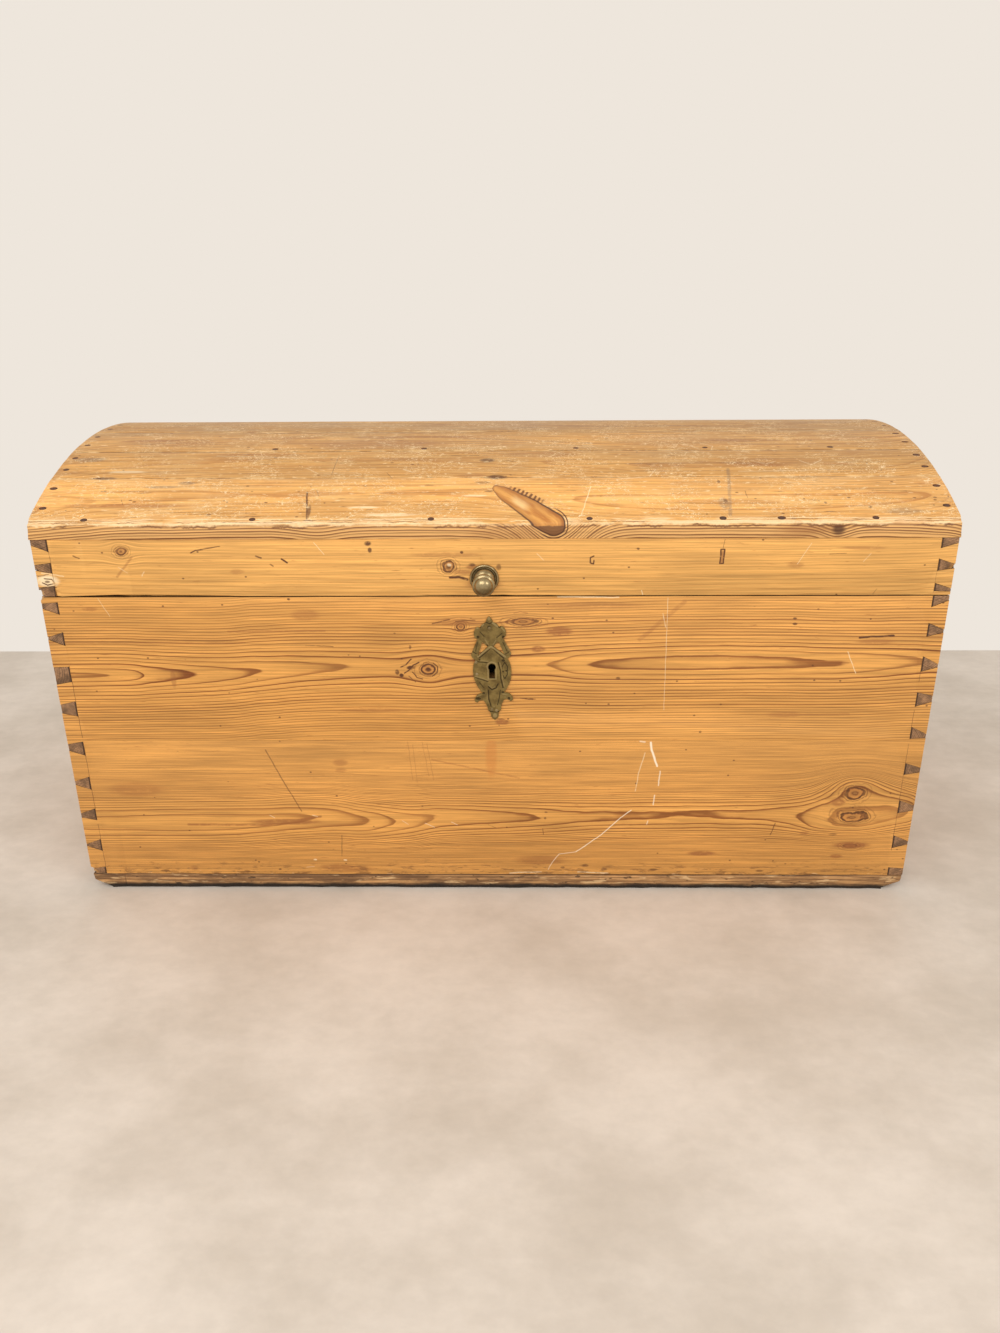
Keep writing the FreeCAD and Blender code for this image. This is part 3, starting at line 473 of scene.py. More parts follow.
upper_marks = [
    ("brown", [
        (0.35, (-482, 395), (9, 2.4)), (0.3, (-224, 387), (16, 7)), (0.4, 2.2, (-319, 366), (-202, 367)),
        (0.35, (-393, 305), (3.2, 12)), (0.3, (360, 256), (20, 4)), (0.28, 5, (228, 403), (177, 355)),
        (0.5, (77, 364), (9, 3)), (0.6, (11, 246), (8, 4)), (0.3, (-150, 262), (40, 3)),
        (0.3, 1.8, (-540, 352), (-300, 352)), (0.25, (120, 398), (60, 4)), (0.3, 1.6, (379, 256), (440, 257)),
        (0.35, (-40, 378), (30, 5)), (0.4, 1.4, (26, 389), (34, 391), (42, 389)), (0.6, (80, 366), (15, 6)),
        (0.6, (55, 343), (8, 4)), (0.4, (460, 352), (22, 3)), (0.6, 1.3, (18, 279), (52, 277))]),
    ("dark", [
        (0.95, 1.3, (-88, 317), (-85, 322), (-79, 324), (-73, 322), (-70, 317), (-73, 312), (-80, 311), (-86, 313),
         (-88, 317)), (0.9, (-79, 317), (2.8, 2.2)), (0.95, (-100, 319), (5, 2.4)), (0.95, (-112, 309), (2.4, 2.4)),
        (0.95, 1.5, (-108, 312), (-102, 316), (-97, 322), (-90, 326)),
        (0.9, 1.4, (-112, 320), (-106, 323), (-99, 330)), (0.85, 1.2, (-98, 313), (-93, 306), (-86, 304)),
        (0.7, 1.2, (-72, 325), (-67, 320), (-68, 312), (-74, 308)), (0.65, 1.0, (-103, 308), (-95, 300)),
        (0.75, (-242, 407), (1.8, 1.4)), (0.9, 2.4, (440, 357), (455, 358.5), (480, 359.5)),
        (0.6, (153, 305), (2.6, 1.8)), (0.65, (360, 382), (2.4, 1.4)), (0.65, (361, 375), (2.8, 1.6)),
        (0.8, 1.5, (34, 278), (49, 277)), (0.6, 1.0, (-226, 348), (-193, 347)), (0.65, (-117, 313), (2.6, 3.4)),
        (0.75, (-111, 309), (2.0, 2.0)), (0.6, 1.4, (-72, 376), (-51, 381)),
        (0.55, 1.3, (-44, 379), (-21, 380.5)), (0.45, 0.9, (5, 248.5), (11, 249.8), (18, 247)),
        (0.55, (258, 232), (1.6, 1.6)), (0.55, (-100, 346), (1.4, 2.4)),
        (0.7, 0.6, (-519, 224), (-519, 258)), (0.7, 0.6, (-519, 268), (-519, 322)), (0.6, 0.6, (519, 228), (519, 262)),
        (0.6, 0.6, (519, 300), (519, 330))]),
    ("pale", [
        (0.55, 0.9, (428, 339), (441, 311)), (0.4, 0.7, (208, 408), (211, 262)), (0.35, 0.7, (-470, 408), (-459, 386)),
        (0.45, 0.8, (203, 388), (207, 371)), (0.5, 1.4, (78, 409.5), (150, 408.5))]),
]
lower_marks = [
    ("brown", [
        (0.55, 3.2, (-400, 98), (-300, 97), (-226, 110)), (0.55, (-272, 102), (44, 4.4)),
        (0.35, (-195, 189), (9, 5)), (0.3, (-195, 178), (7, 3)), (0.45, (-207, 33), (24, 4)),
        (0.35, (-195, 30), (30, 5)), (0.3, 1.0, (-108, 218), (-104, 164)), (0.3, 0.9, (-102, 214), (-98, 160)),
        (0.25, 1.0, (-90, 218), (-83, 170)), (0.3, 0.9, (-84, 216), (-77, 164)),
        (0.65, (466, 68), (22, 4.5)), (0.35, (403, 86), (6, 3)), (0.6, (272, 55), (17, 3.6)),
        (0.5, (448, 51), (8, 3)), (0.3, 2.4, (-78, 193), (32, 167)),
        (0.5, (441, 132), (9, 6)), (0.3, (-400, 31), (5, 4)), (0.35, (60, 44), (30, 7)), (0.3, (-460, 150), (34, 10))]),
    ("orange", [(0.3, (-3, 200), (7, 30))]),
    ("dark", [
        (0.5, 1.5, (-289, 207), (-270, 162), (-250, 118)), (0.5, 1.1, (-200, 82), (-202, 50)),
        (0.5, (67, 117), (2, 1.2)), (0.5, (66, 108), (1.6, 1.6)), (0.5, 1.1, (63, 92), (64, 83)),
        (0.4, 1.1, (-8, 98), (2, 93)), (0.6, 1.3, (364, 101), (362, 92), (359, 83)), (0.6, (-286, 29), (2, 1.4)),
        (0.5, (-330, 26), (4, 1.4)), (0.55, (210, 30), (5, 1.6)), (0.5, (90, 33), (3, 1.6)), (0.5, (120, 36), (4, 2)),
        (0.5, (145, 30), (4, 2)), (0.55, (-440, 27), (6, 1.6)), (0.5, (350, 28), (5, 1.6)), (0.4, (440, 84), (5, 2)),
        (0.65, 0.6, (-519, 30), (-519, 98)), (0.7, 0.6, (-519, 118), (-519, 216)), (0.6, 0.6, (519, 60), (519, 216))]),
    ("pale", [
        (0.7, (-238, 44), (2.4, 1.2)), (0.6, (-198, 44), (2.4, 1.2)), (0.4, 1.2, (191, 203), (184, 175), (181, 148)),
        (0.6, 1.6, (150, 24), (110, 26)), (0.5, 1.8, (20, 24), (62, 26))]),
    ("white", [
        (0.5, 0.8, (-292, 112), (-286, 108)), (0.5, 0.8, (-236, 112), (-230, 110)),
        (0.45, 0.7, (-120, 104), (-112, 98)),
        (0.5, 0.8, (-90, 100), (-78, 94)), (0.5, 0.8, (-56, 102), (-48, 98)), (0.4, 0.7, (-250, 32), (-240, 34)),
        (0.85, 2.4, (197, 217), (199, 207), (207, 184)), (0.6, 1.5, (211, 177), (210, 156)),
        (0.6, 1.5, (206, 142), (205, 128)), (0.55, 1.3, (199, 104), (198, 99)), (0.5, 1.8, (184, 219), (190, 218)),
        (0.75, 1.2, (177, 120), (163, 108), (139, 83), (115, 63), (107, 57)),
        (0.6, 0.9, (107, 57), (85, 54), (75, 39), (71, 30))]),
]
rail_marks = [
    ("pale", [(0.75, (-527, 430), (13, 7)), (0.5, 1.2, (-532, 440), (-506, 436))]),
    ("brown", [
        (0.5, (268, 458), (3, 8)), (0.5, (-22, 446), (8, 3)), (0.45, (-34, 440), (12, 3)),
        (0.35, 2.6, (-422, 459), (-443, 435)), (0.3, (354, 448), (9, 4)), (0.35, (-10, 425), (20, 7)),
        (0.3, (-52, 461), (40, 3)), (0.3, (-300, 441), (8, 3)), (0.35, (430, 468), (26, 2))]),
    ("dark", [
        (0.9, 1.4, (-352, 464), (-346, 467)), (0.9, 1.4, (-346, 467), (-338, 468)),
        (0.7, 1.1, (-338, 468), (-318, 472)),
        (0.9, 2.0, (-246, 456), (-240, 452)),
        (0.85, 1.3, (-533, 428), (-527, 425), (-519, 427), (-521, 432), (-530, 433)),
        (0.7, 1.0, (-537, 436), (-524, 438)),
        (0.7, 1.2, (-540, 422), (-530, 420), (-518, 422)), (0.6, (-527, 429), (3, 1.6)),
        (0.55, 1.1, (-348, 466), (-338, 469), (-317, 472)), (0.7, 1.8, (-276, 460), (-270, 458)),
        (0.6, 1.5, (-260, 450), (-257, 448)), (0.75, (-144, 475), (4, 2.6)), (0.7, (-142, 467), (2.4, 3)),
        (0.5, (-51, 446), (3.4, 2.6)), (0.85, 2.8, (-49, 434), (-38, 434), (-29, 431)),
        (0.9, 1.6, (266, 467), (266, 450)),
        (0.9, 1.6, (270, 467), (270, 450)), (0.8, 1.6, (266, 467), (270, 467)), (0.8, 1.6, (266, 450), (270, 450)),
        (0.5, 0.7, (268, 467), (270, 479)), (0.75, (170, 468), (1.6, 1.3)),
        (0.8, (-35, 464), (1.8, 1.5)), (0.85, 1.5, (119, 459), (115, 457), (115, 451), (119, 450), (119, 454)),
        (0.5, 0.8, (392, 461), (411, 462)),
        (0.6, 1.6, (-491, 461), (-484, 458)), (0.65, 0.6, (-519, 414), (-519, 478)), (0.4, 0.5, (519, 414), (519, 446)),
        (0.6, (-23, 449), (4, 2)), (0.5, (8, 446), (3, 4)), (0.5, 0.7, (448, 412), (452, 418))]),
    ("pale", [
        (0.45, 0.8, (53, 462), (61, 454)), (0.4, 0.8, (370, 474), (356, 449)), (0.35, 0.8, (440, 462), (432, 452)),
        (0.45, 0.9, (-207, 476), (-196, 462)), (0.5, 1.0, (-410, 441), (-413, 436)), (0.5, 1.0, (176, 417), (178, 412)),
        (0.5, (-50, 449), (2.4, 1.8)), (0.35, 0.8, (-440, 447), (-430, 440))]),
]

# On the dome a place is (along, round the arc from the front arris)
dome_marks = [
    ("grey", [
        (0.6, (-474, 92), (15, 3)), (0.5, (-508, 142), (20, 6)), (0.45, (-398, 72), (20, 3)), (0.4, (-370, 80), (9, 4)),
        (0.4, 4, (288, 110), (276, 14)), (0.45, (272, 36), (6, 11)), (0.35, (478, 20), (20, 6))]),
    ("brown", [
        (0.5, (-430, 34), (70, 3.5)), (0.35, (60, 152), (45, 9)), (0.3, (-300, 150), (60, 10)),
        (0.3, (350, 128), (60, 12)), (0.4, (-25, 96), (18, 4)), (0.3, (-160, 190), (90, 16)),
        (0.25, (240, 200), (100, 14)), (0.3, (-420, 200), (60, 16))]),
    ("dark", [
        (0.75, 2.0, (-221, 60), (-217, 30), (-214, 6)), (0.6, (-214, 22), (2.6, 12)), (0.7, (-212, 5), (6, 2.6)),
        (0.65, 1.2, (-53, 150), (-32, 149), (-18, 150)), (0.65, (-7, 136), (9, 5)), (0.75, (4, 92), (13, 4.6)),
        (0.45, (-12, 80), (9, 3)), (0.5, (-368, 82), (14, 1.8)), (0.45, 1.0, (-195, 150), (-197, 100)),
        (0.6, 1.0, (450, 60), (490, 58)), (0.5, 1.0, (300, 60), (301, 46)), (0.6, (-480, 92), (10, 1.8)),
        (0.6, (272, 80), (1.8, 3)), (0.6, (274, 40), (2.6, 3)), (0.5, 0.9, (-210, 64), (-206, 52)),
        (0.5, 0.8, (-440, 46), (-436, 36)), (0.6, (390, 36), (2, 2)), (0.6, (440, 28), (2, 2.6)),
        (0.5, (-330, 17), (3, 1.6)), (0.5, (520, 45), (2, 1.6)), (0.5, (-465, 64), (2, 1.4)), (0.5, (348, 8), (4, 2)),
        (0.45, 1.2, (-150, 8), (-100, 9)), (0.5, 0.8, (-130, 104), (-122, 90)), (0.6, (-4, 61), (5, 1.6))]),
    ("pale", [
        (0.5, 1.4, (-350, 152), (-240, 144), (-210, 148)), (0.45, 1.2, (-300, 128), (-296, 142), (-270, 146)),
        (0.5, 1.2, (118, 70), (104, 14)), (0.4, 1.0, (20, 116), (34, 130), (44, 134)),
        (0.5, 1.0, (190, 92), (200, 110)),
        (0.45, 1.4, (150, 86), (190, 92)), (0.5, 1.4, (-110, 112), (-98, 104)), (0.4, 1.4, (300, 104), (420, 107)),
        (0.5, 1.2, (380, 132), (392, 120), (408, 134)), (0.5, (-450, 108), (22, 3)), (0.45, (-20, 52), (14, 2)),
        (0.5, (-120, 16), (30, 3)), (0.5, (-150, 30), (18, 2)), (0.4, 1.2, (-230, 116), (-214, 102)),
        (0.5, 1.0, (265, 190), (280, 178), (276, 164)), (0.45, 1.0, (242, 192), (262, 168)),
        (0.4, 1.2, (320, 132), (336, 122), (350, 130)), (0.5, (300, 3), (130, 2)), (0.5, (-260, 3), (90, 1.6))]),
]


def knot_spike(recipe, face, colour, height):
    """Branch cut lengthwise: it widens from a point down to a dark round end under the arris."""
    start, end = Vector((5, 41, 0)) * mm, Vector((72, -1, 0)) * mm
    along, across, _ = recipe.split(face)
    lean = recipe.math("MAXIMUM", across, 0.0) * 0.62 + recipe.math("MINIMUM", across, 0.0) * 2.04
    flat = recipe.shake(recipe.join(along, lean, 0.0), (55, 55, 1), (3 * mm, 3 * mm, 0))
    line = end - start
    share, offset, gap = recipe.along_line(flat, start, end)
    above = recipe.rise(recipe.dot(offset, (-line.y, line.x, 0)), 0.0, 0.0002)
    half_width = recipe.along(share, [(0.0, 4.6 * mm), (0.2, 9.0 * mm), (0.5, 11.2 * mm), (1.0, 12.6 * mm)])
    size = gap / half_width
    inside = recipe.rise(size, 1.02, 0.9)
    streak = recipe.noise(recipe.join(share * 2.0, gap * 160, 0.0), (1, 1, 1), 3.0, 0.6)
    heart = recipe.mix(recipe.rise(streak, 0.35, 0.65), shade("spike gold"), shade("spike streak"))
    heart = recipe.stain(heart, recipe.rise(size, 0.4, 1.0) * 0.7, "spike side")
    # Painted highlight across the middle of the knot
    painted_highlight = recipe.off_zero(share - 0.42, 0.2, 0.04) * recipe.rise(size, 0.62, 0.2)
    heart = recipe.stain(heart, painted_highlight * 0.65, "spike shine")
    ragged = recipe.noise(face, (160, 60, 1), 3.0, 0.6) * 2.4 * mm
    heart = recipe.stain(heart, recipe.rise(across + ragged, 1.6 * mm, 0.6 * mm) * 0.92, "spike tip")
    colour = recipe.mix(inside * 0.95, colour, heart)
    ticks = recipe.rise(recipe.math("PINGPONG", share * 15.0, 0.5), 0.16, 0.34) * recipe.rise(share, 0.74, 0.66)
    ticks = ticks * above * recipe.rise(share, 0.12, 0.22)
    fringe = recipe.off_zero(size - 1.2, 0.36, 0.2)
    colour = recipe.stain(colour, ticks * fringe * 0.95, "spike tick")
    blush = recipe.rise(size, 1.7, 1.0) * above * recipe.rise(share, 0.95, 0.6)
    colour = recipe.stain(colour, blush * 0.35, "spike blush")
    rim = recipe.off_zero(size - 0.98, 0.12, 0.03) * recipe.rise(share, 0.0, 0.8, 0.6, 1.0)
    ring = recipe.off_zero(size - 1.26, 0.09, 0.02) * recipe.rise(share, 0.86, 0.98)
    colour = recipe.stain(colour, recipe.most(rim, ring) * 0.95, "spike rim")
    return colour, height - rim + inside * 0.6


# Where the grain swerves on the sawn edge under the arris: (place along, how far it dips, reach)
edge_swerves = [(72, 46, 44), (397, 8, 20), (-205, 5, 30)]


def edge_grain(recipe, colour, height):
    """The sawn edge of an outer plank: rings cut across, with knots that push them aside."""
    x, _, z = recipe.split(recipe.place)
    level = (z - rail_top) / mm
    level = level + recipe.along(x, [(-540 * mm, 10), (-470 * mm, 4), (-390 * mm, 0), (-60 * mm, -2), (230 * mm, -3),
                                     (540 * mm, 6)])
    for place, dip, reach in edge_swerves:
        away = (x - place * mm) / (reach * mm)
        level = level + recipe.math("EXPONENT", -(away * away)) * dip
    level = level + recipe.noise(recipe.join(x, 0.0, z * 3), (7, 1, 9), 3.0, 0.55) * 6.0
    rings = level / 3.5
    rings = rings + recipe.noise(recipe.join(rings * 0.8, x * 1.5, 3.0), (1, 1, 1), 1.0) * 1.1
    number = recipe.math("FLOOR", rings)
    late = recipe.ramp(rings - number, [(0.0, 0.3), (0.08, 0.0), (0.35, 0.1), (0.56, 0.5), (0.76, 0.98), (0.92, 1.0),
                                        (1.0, 0.3)])
    late = late * recipe.rise(recipe.chance(number + 3.3), 0.0, 1.0, 0.65, 1.0)
    fibre = recipe.noise(recipe.place, (16, 900, 900), 2.0, 0.6)
    sawn = recipe.mix(late * 0.95, shade("sawn early"), shade("sawn late"))
    sawn = recipe.tinted(sawn, recipe.rise(fibre, 0.25, 0.75, 0.86, 1.1))
    dirty = recipe.patches(recipe.place, (9, 1, 60), 4.0, 0.6, 0.5, 0.7)
    sawn = recipe.stain(sawn, dirty * 0.35, "sawn dirt")
    sawn_face = recipe.join(x, z - rail_top, 0.0)
    knot = spot(recipe, sawn_face, (399, 10), (7, 6.5), 0.5)
    smear = spot(recipe, sawn_face, (362, 10), (30, 6), 0.6)
    sawn = recipe.stain(sawn, smear * 0.5, "sawn smear")
    sawn = recipe.stain(sawn, knot * 0.85, "sawn knot")
    under = recipe.rise(z, arris_z - 0.2 * mm, arris_z - 2.2 * mm)
    return recipe.mix(under, colour, sawn), height - late * under * 0.5


def plank_joints_wear(recipe, face, colour, places):
    """Joints with the next planks: a thin dark gap beside rubbed, splintered edges."""
    across = recipe.split(face)[1]
    for place in places:
        off = recipe.math("ABSOLUTE", across - place * mm)
        broken = recipe.noise(face, (26, 1, 1), 4.0, 0.65)
        edge = recipe.rise(off + recipe.noise(face, (60, 20, 1), 3.0, 0.6) * 4 * mm, 4.4 * mm, 2.6 * mm)
        colour = recipe.stain(colour, edge * recipe.rise(broken, 0.42, 0.6) * 0.7, "joint edge")
        line = recipe.rise(off, 1.0 * mm, 0.4 * mm) * recipe.rise(broken, 0.62, 0.46, 0.25, 1.0)
        colour = recipe.stain(colour, line * 0.8, "joint line")
    return colour


def worn_arris(recipe, face, colour):
    """The arris is rubbed pale and splintered."""
    along, across, _ = recipe.split(face)
    ragged = recipe.noise(face, (24, 8, 1), 6.0, 0.7)
    fray = recipe.noise(face, (130, 400, 1), 3.0, 0.6)
    pale = recipe.rise(across, 15 * mm, 5 * mm) * recipe.rise(across, 0.0, 2 * mm)
    worn_pale = recipe.patches(face, (18, 50, 1), 4.0, 0.6, 0.42, 0.62)
    colour = recipe.stain(colour, pale * worn_pale * 0.6, "arris wear")
    arris = recipe.rise(recipe.math("ABSOLUTE", across - 1.5 * mm - (ragged - 0.5) * 8 * mm) + fray * 3 * mm,
                        3.2 * mm, 1.7 * mm)
    worn_off = recipe.patches(face, (22, 60, 1), 4.0, 0.65, 0.38, 0.56)
    colour = recipe.stain(colour, arris * worn_off * 0.85, "arris")
    # Splits and pale lines run along it, each broken in its own places
    for shift, far, near, stretch, low_end, tone in (
            (-0.4, 1.4, 0.56, 22, 0.48, "arris split"), (3.4, 1.2, 0.42, 22, 0.48, "arris split"),
            (6.4, 1.2, 0.42, 22, 0.48, "arris split"), (4.8, 1.5, 0.6, 16, 0.47, "arris line"),
            (8.4, 1.5, 0.6, 16, 0.47, "arris line")):
        away = recipe.math("ABSOLUTE", across - shift * mm - (ragged - 0.5) * 8 * mm)
        gone = recipe.patches(recipe.join(along, shift, 0.0), (stretch, 9, 1), 3.0, 0.6, low_end, 0.56)
        line = recipe.rise(away + fray * 0.9 * mm, far * mm, near * mm)
        colour = recipe.stain(colour, line * gone * 0.8, tone)
    return colour


def worn_dome(index):
    """Wear and painted light and shade of one plank of the dome, counted from the front."""
    def worn(recipe, face, grain, colour, height):
        across = recipe.split(face)[1]
        bare = colour
        # Milky haze and dull patches
        haze = recipe.patches(grain, (7, 30, 30), 5.0, 0.65, 0.46, 0.72)
        colour = recipe.stain(colour, haze * 0.3, "haze")
        blotch = recipe.patches(face, (16, 42, 1), 5.0, 0.66, 0.54, 0.7)
        colour = recipe.stain(colour, blotch * 0.4, "blotch")
        # Painted light and shade round the arc from the front slope to the crown: brighter on the front slope, darker
        # over the top
        colour = recipe.tinted(colour, recipe.along(across, [
            (-10 * mm, 1.0), (0, 1.0), (30 * mm, 1.08), (55 * mm, 1.13), (80 * mm, 1.08), (91 * mm, 1.04),
            (95 * mm, 0.9), (122 * mm, 0.82), (150 * mm, 0.79), (164 * mm, 0.81), (172 * mm, 0.84),
            (198 * mm, 0.86), (230 * mm, 0.77), (262 * mm, 0.68), (300 * mm, 0.68), (390 * mm, 0.82), (480 * mm, 0.92),
            (600 * mm, 0.98)]))
        # Curly pale scratches, short straight ones, scuffs, dark pits and hair cracks
        curl = recipe.noise(face, (75, 120, 1), 2.0, 0.5, 1.8)
        sparse = recipe.patches(face, (15, 22, 1), 2.0, 0.5, 0.44, 0.56)
        scratch = recipe.off_zero(curl - 0.5, 0.02, 0.006) * sparse
        colour = recipe.stain(colour, scratch * 0.72, "scratch")
        scuff = recipe.patches(face, (80, 240, 1), 3.0, 0.62, 0.6, 0.69)
        colour = recipe.stain(colour, scuff * 0.6, "scuff")
        crack = recipe.noise(face, (30, 330, 1), 3.0, 0.65)
        crack = recipe.rise(crack, 0.62, 0.69) * recipe.patches(face, (9, 12, 1), 2.0, 0.5, 0.42, 0.56)
        pit = recipe.rise(recipe.cells(face, (34, 60, 1)), 0.1, 0.05)
        pit = pit * recipe.rise(recipe.cells(face, (34, 60, 1), "Color"), 0.42, 0.48)
        colour = recipe.stain(colour, recipe.most(crack * 0.75, pit * 0.8), "crack")
        colour = plank_joints_wear(recipe, face, colour, plank_ends[index:index + 2])
        if index in outer_planks:
            colour, height = edge_grain(recipe, colour, height)
            colour = worn_arris(recipe, face, colour)
        if index == 0:
            colour, height = knot_spike(recipe, face, colour, height)
        # The underside never saw hands or polish
        inner = recipe.rise(recipe.split(recipe.facing)[2], -0.4, -0.7)
        colour = recipe.mix(inner, colour, recipe.tinted(bare, 0.86))
        return colour, height - scratch * 0.5 - scuff * 0.3 - crack * 0.5
    return worn


def grimy_edge(recipe, face, grain, colour, height):
    """Front board over the foot: dark specks and scuffs gather along its lower edge."""
    _, up, _ = recipe.split(face)
    low = recipe.rise(up, 58 * mm, 22 * mm)
    dirt = recipe.rise(recipe.noise(face, (48, 190, 1), 5.0, 0.7) + low * 0.1, 0.61, 0.7)
    colour = recipe.stain(colour, dirt * low * 0.6, "edge dirt")
    rubbed = recipe.patches(face, (60, 200, 1), 3.0, 0.6, 0.63, 0.69)
    colour = recipe.stain(colour, rubbed * recipe.rise(up, 34 * mm, 22 * mm) * 0.6, "edge rub")
    return colour, height - dirt * low


def dirty_foot(recipe, face, grain, colour, height):
    """Floor boards: dirty and splintered, rubbed pale in places, with a near black painted shadow at the underside."""
    x, _, z = recipe.split(recipe.place)
    cleaner = recipe.rise(x, 0.05, 0.4, 1.0, 0.55)
    streak = recipe.patches(recipe.place, (12, 240, 320), 4.0, 0.7, 0.44, 0.62)
    colour = recipe.stain(colour, streak * 0.6, "foot streak")
    grime = recipe.patches(recipe.place, (15, 70, 70), 5.0, 0.68, 0.42, 0.62)
    colour = recipe.stain(colour, grime * cleaner * 0.7, "foot grime")
    rubbed = recipe.patches(recipe.place, (26, 170, 170), 4.0, 0.62, 0.56, 0.64)
    colour = recipe.stain(colour, rubbed * 0.7, "foot rub")
    hole = recipe.patches(recipe.place, (60, 160, 160), 3.0, 0.6, 0.62, 0.68)
    colour = recipe.stain(colour, hole * 0.8, "foot hole")
    # Painted shadow, near black, where the boards sit on the floor
    foot = recipe.rise(z + recipe.noise(recipe.place, (30, 30, 30), 4.0, 0.6) * 8 * mm, 13 * mm, 8 * mm)
    colour = recipe.stain(colour, foot * 0.97, "foot painted shadow")
    top = recipe.rise(z, 19.0 * mm, 21.0 * mm)
    colour = recipe.stain(colour, top * 0.7, "foot top")
    return colour, height + rubbed * 0.4 - hole


upper_front = pine(
    "pine_upper_front", "face", front_board,
    [(-540, 0.6, 309), (-458, 1.0, 310), (-420, 2.0, 310), (-361, 3.0, 310), (-282, 4.0, 315), (-170, 5.0, 319),
     (-60, 5.4, 318), (62, 5.0, 323), (113, 4.0, 323), (180, 3.6, 324), (250, 3.48, 325), (330, 3.66, 325),
     (429, 4.0, 324), (522, 4.9, 326), (540, 5.0, 326)],
    core=6.5, growth=1.2, seed=0.1, marks=upper_marks,
    knots=[(-79, 317, 10, 7.5, 2.8), (-38, 372, 6, 5, 2.0), (37, 378, 17, 5, 1.8)])
lower_front = pine(
    "pine_lower_front", "face", front_board,
    [(-540, 1.3, 100), (-514, 1.27, 100), (-383, 1.1, 101), (-300, 1.4, 104), (-224, 2.0, 108), (-161, 3.0, 103),
     (-122, 4.0, 103), (-65, 5.0, 108), (55, 6.0, 109), (141, 6.8, 111), (250, 6.95, 113), (310, 6.9, 113),
     (362, 6.5, 113), (393, 6.0, 113), (426, 5.0, 116), (470, 4.6, 120), (540, 5.6, 118)],
    core=17.1, growth=2.41, seed=0.2, marks=lower_marks, worn=grimy_edge,
    knots=[(461, 145, 13, 9.5, 3.6), (463, 121, 18, 10, 3.0), (466, 69, 10, 5, 2.2)])
front_rail = pine(
    "pine_front_rail", "rail", front_board, [(-540, 30, 395), (0, 31, 390), (540, 30, 396)],
    core=3.4, growth=1.1, contrast=0.55, seed=0.3, marks=rail_marks,
    knots=[(-434, 466, 6.5, 5.5, 2.4), (-51, 447, 8, 7, 1.3)])
back_boards = pine(
    "pine_back", "face", back_board, [(-540, 3.5, 250), (-200, 6.5, 262), (120, 5.0, 240), (540, 8.0, 255)],
    core=7.0, growth=1.3, contrast=0.8, seed=0.4, knots=[(-250, 330, 9, 7, 2.4), (310, 120, 12, 9, 2.4)])
left_boards = pine(
    "pine_left_end", "face", left_board, [(-280, 31, 300), (-60, 36, 310), (120, 33, 296), (280, 35, 300)],
    core=3.2, growth=1.12, contrast=0.9, seed=0.5, knots=[(60, 180, 9, 7, 2.4)])
right_boards = pine(
    "pine_right_end", "face", right_board, [(-280, 33, 190), (-40, 29, 200), (150, 34, 210), (280, 31, 205)],
    core=3.2, growth=1.12, contrast=0.9, seed=0.6, knots=[(-90, 330, 8, 6, 2.4)])
floor_boards = pine(
    "pine_floor", "floor", floor_board, [(-540, 9, -230), (0, 12, -240), (540, 8, -236)],
    core=5.0, growth=1.1, contrast=0.9, seed=8.0, worn=dirty_foot)
inside_boards = pine(
    "pine_inside", "inside", inside_board, [(-540, 9, 60), (0, 12, 40), (540, 10, 70)],
    core=6.0, growth=1.2, contrast=0.6, seed=9.0)


def marks_near(low, high, reach=12):
    """The dome's marks that touch a plank, which lies from low to high round the arc."""
    rows = []
    for stain, shapes in dome_marks:
        near = []
        for shape in shapes:
            points = [part for part in shape if isinstance(part, tuple)]
            if isinstance(shape[1], tuple):
                points = points[:1]
            if any(low - reach < point[1] < high + reach for point in points):
                near.append(shape)
        if near:
            rows.append((stain, near))
    return rows


dome_boards = []
for index in range(plank_count):
    low, high = plank_ends[index], plank_ends[index + 1]
    middle = (low + high) / 2
    pith = [(-540, 13 + index, middle - 20), (-120, 15, middle + 12), (260, 12 + index, middle - 8),
            (540, 14, middle + 20)]
    dome_boards.append(pine("pine_dome_" + str(index + 1), "dome", dome_board, pith, core=4.2, growth=1.1,
                            contrast=0.8, seed=1.0 + index, marks=marks_near(low, high),
                            worn=worn_dome(index), bend=3.0))


# Metals

def aged_brass(name, three_tones, roughness, bumps, pitting):
    """The tones are clean, dull and dark. Grooves hold the dark tone as grime, and downward faces take it as painted
    shade.
    """
    clean, dull, grime_and_shade = (linear(screen) for screen in three_tones)
    recipe = Recipe(name)
    cloud = recipe.noise(recipe.place, (90, 90, 90), 4.0, 0.62)
    fine = recipe.noise(recipe.place, (900, 900, 900), 3.0, 0.6)
    colour = recipe.mix(recipe.rise(cloud, 0.35, 0.68), clean, dull)
    colour = recipe.mix(recipe.rise(fine, 0.55, 0.75) * pitting, colour, grime_and_shade)
    # Painted shade: faces that turn downwards take the dark tone
    _, _, upright = recipe.split(recipe.facing)
    colour = recipe.mix(recipe.rise(upright, 0.1, -0.7) * 0.6, colour, grime_and_shade)
    relief = Wire(recipe, recipe.add("Attribute", attribute_name="relief").outputs["Fac"])
    colour = recipe.mix(recipe.rise(relief, -0.05, -0.35) * 0.85, colour, grime_and_shade)
    colour = recipe.stain(colour, recipe.rise(relief, 0.15, 0.5) * 0.6, "brass rub")
    rough = recipe.rise(cloud, 0.3, 0.7, roughness, roughness + 0.14) + recipe.rise(relief, 0.0, -0.3) * 0.2
    normal = recipe.bump(fine * 0.5 + cloud, bumps * mm, 0.5)
    return recipe.finish(colour, rough, normal, Metallic=0.88)


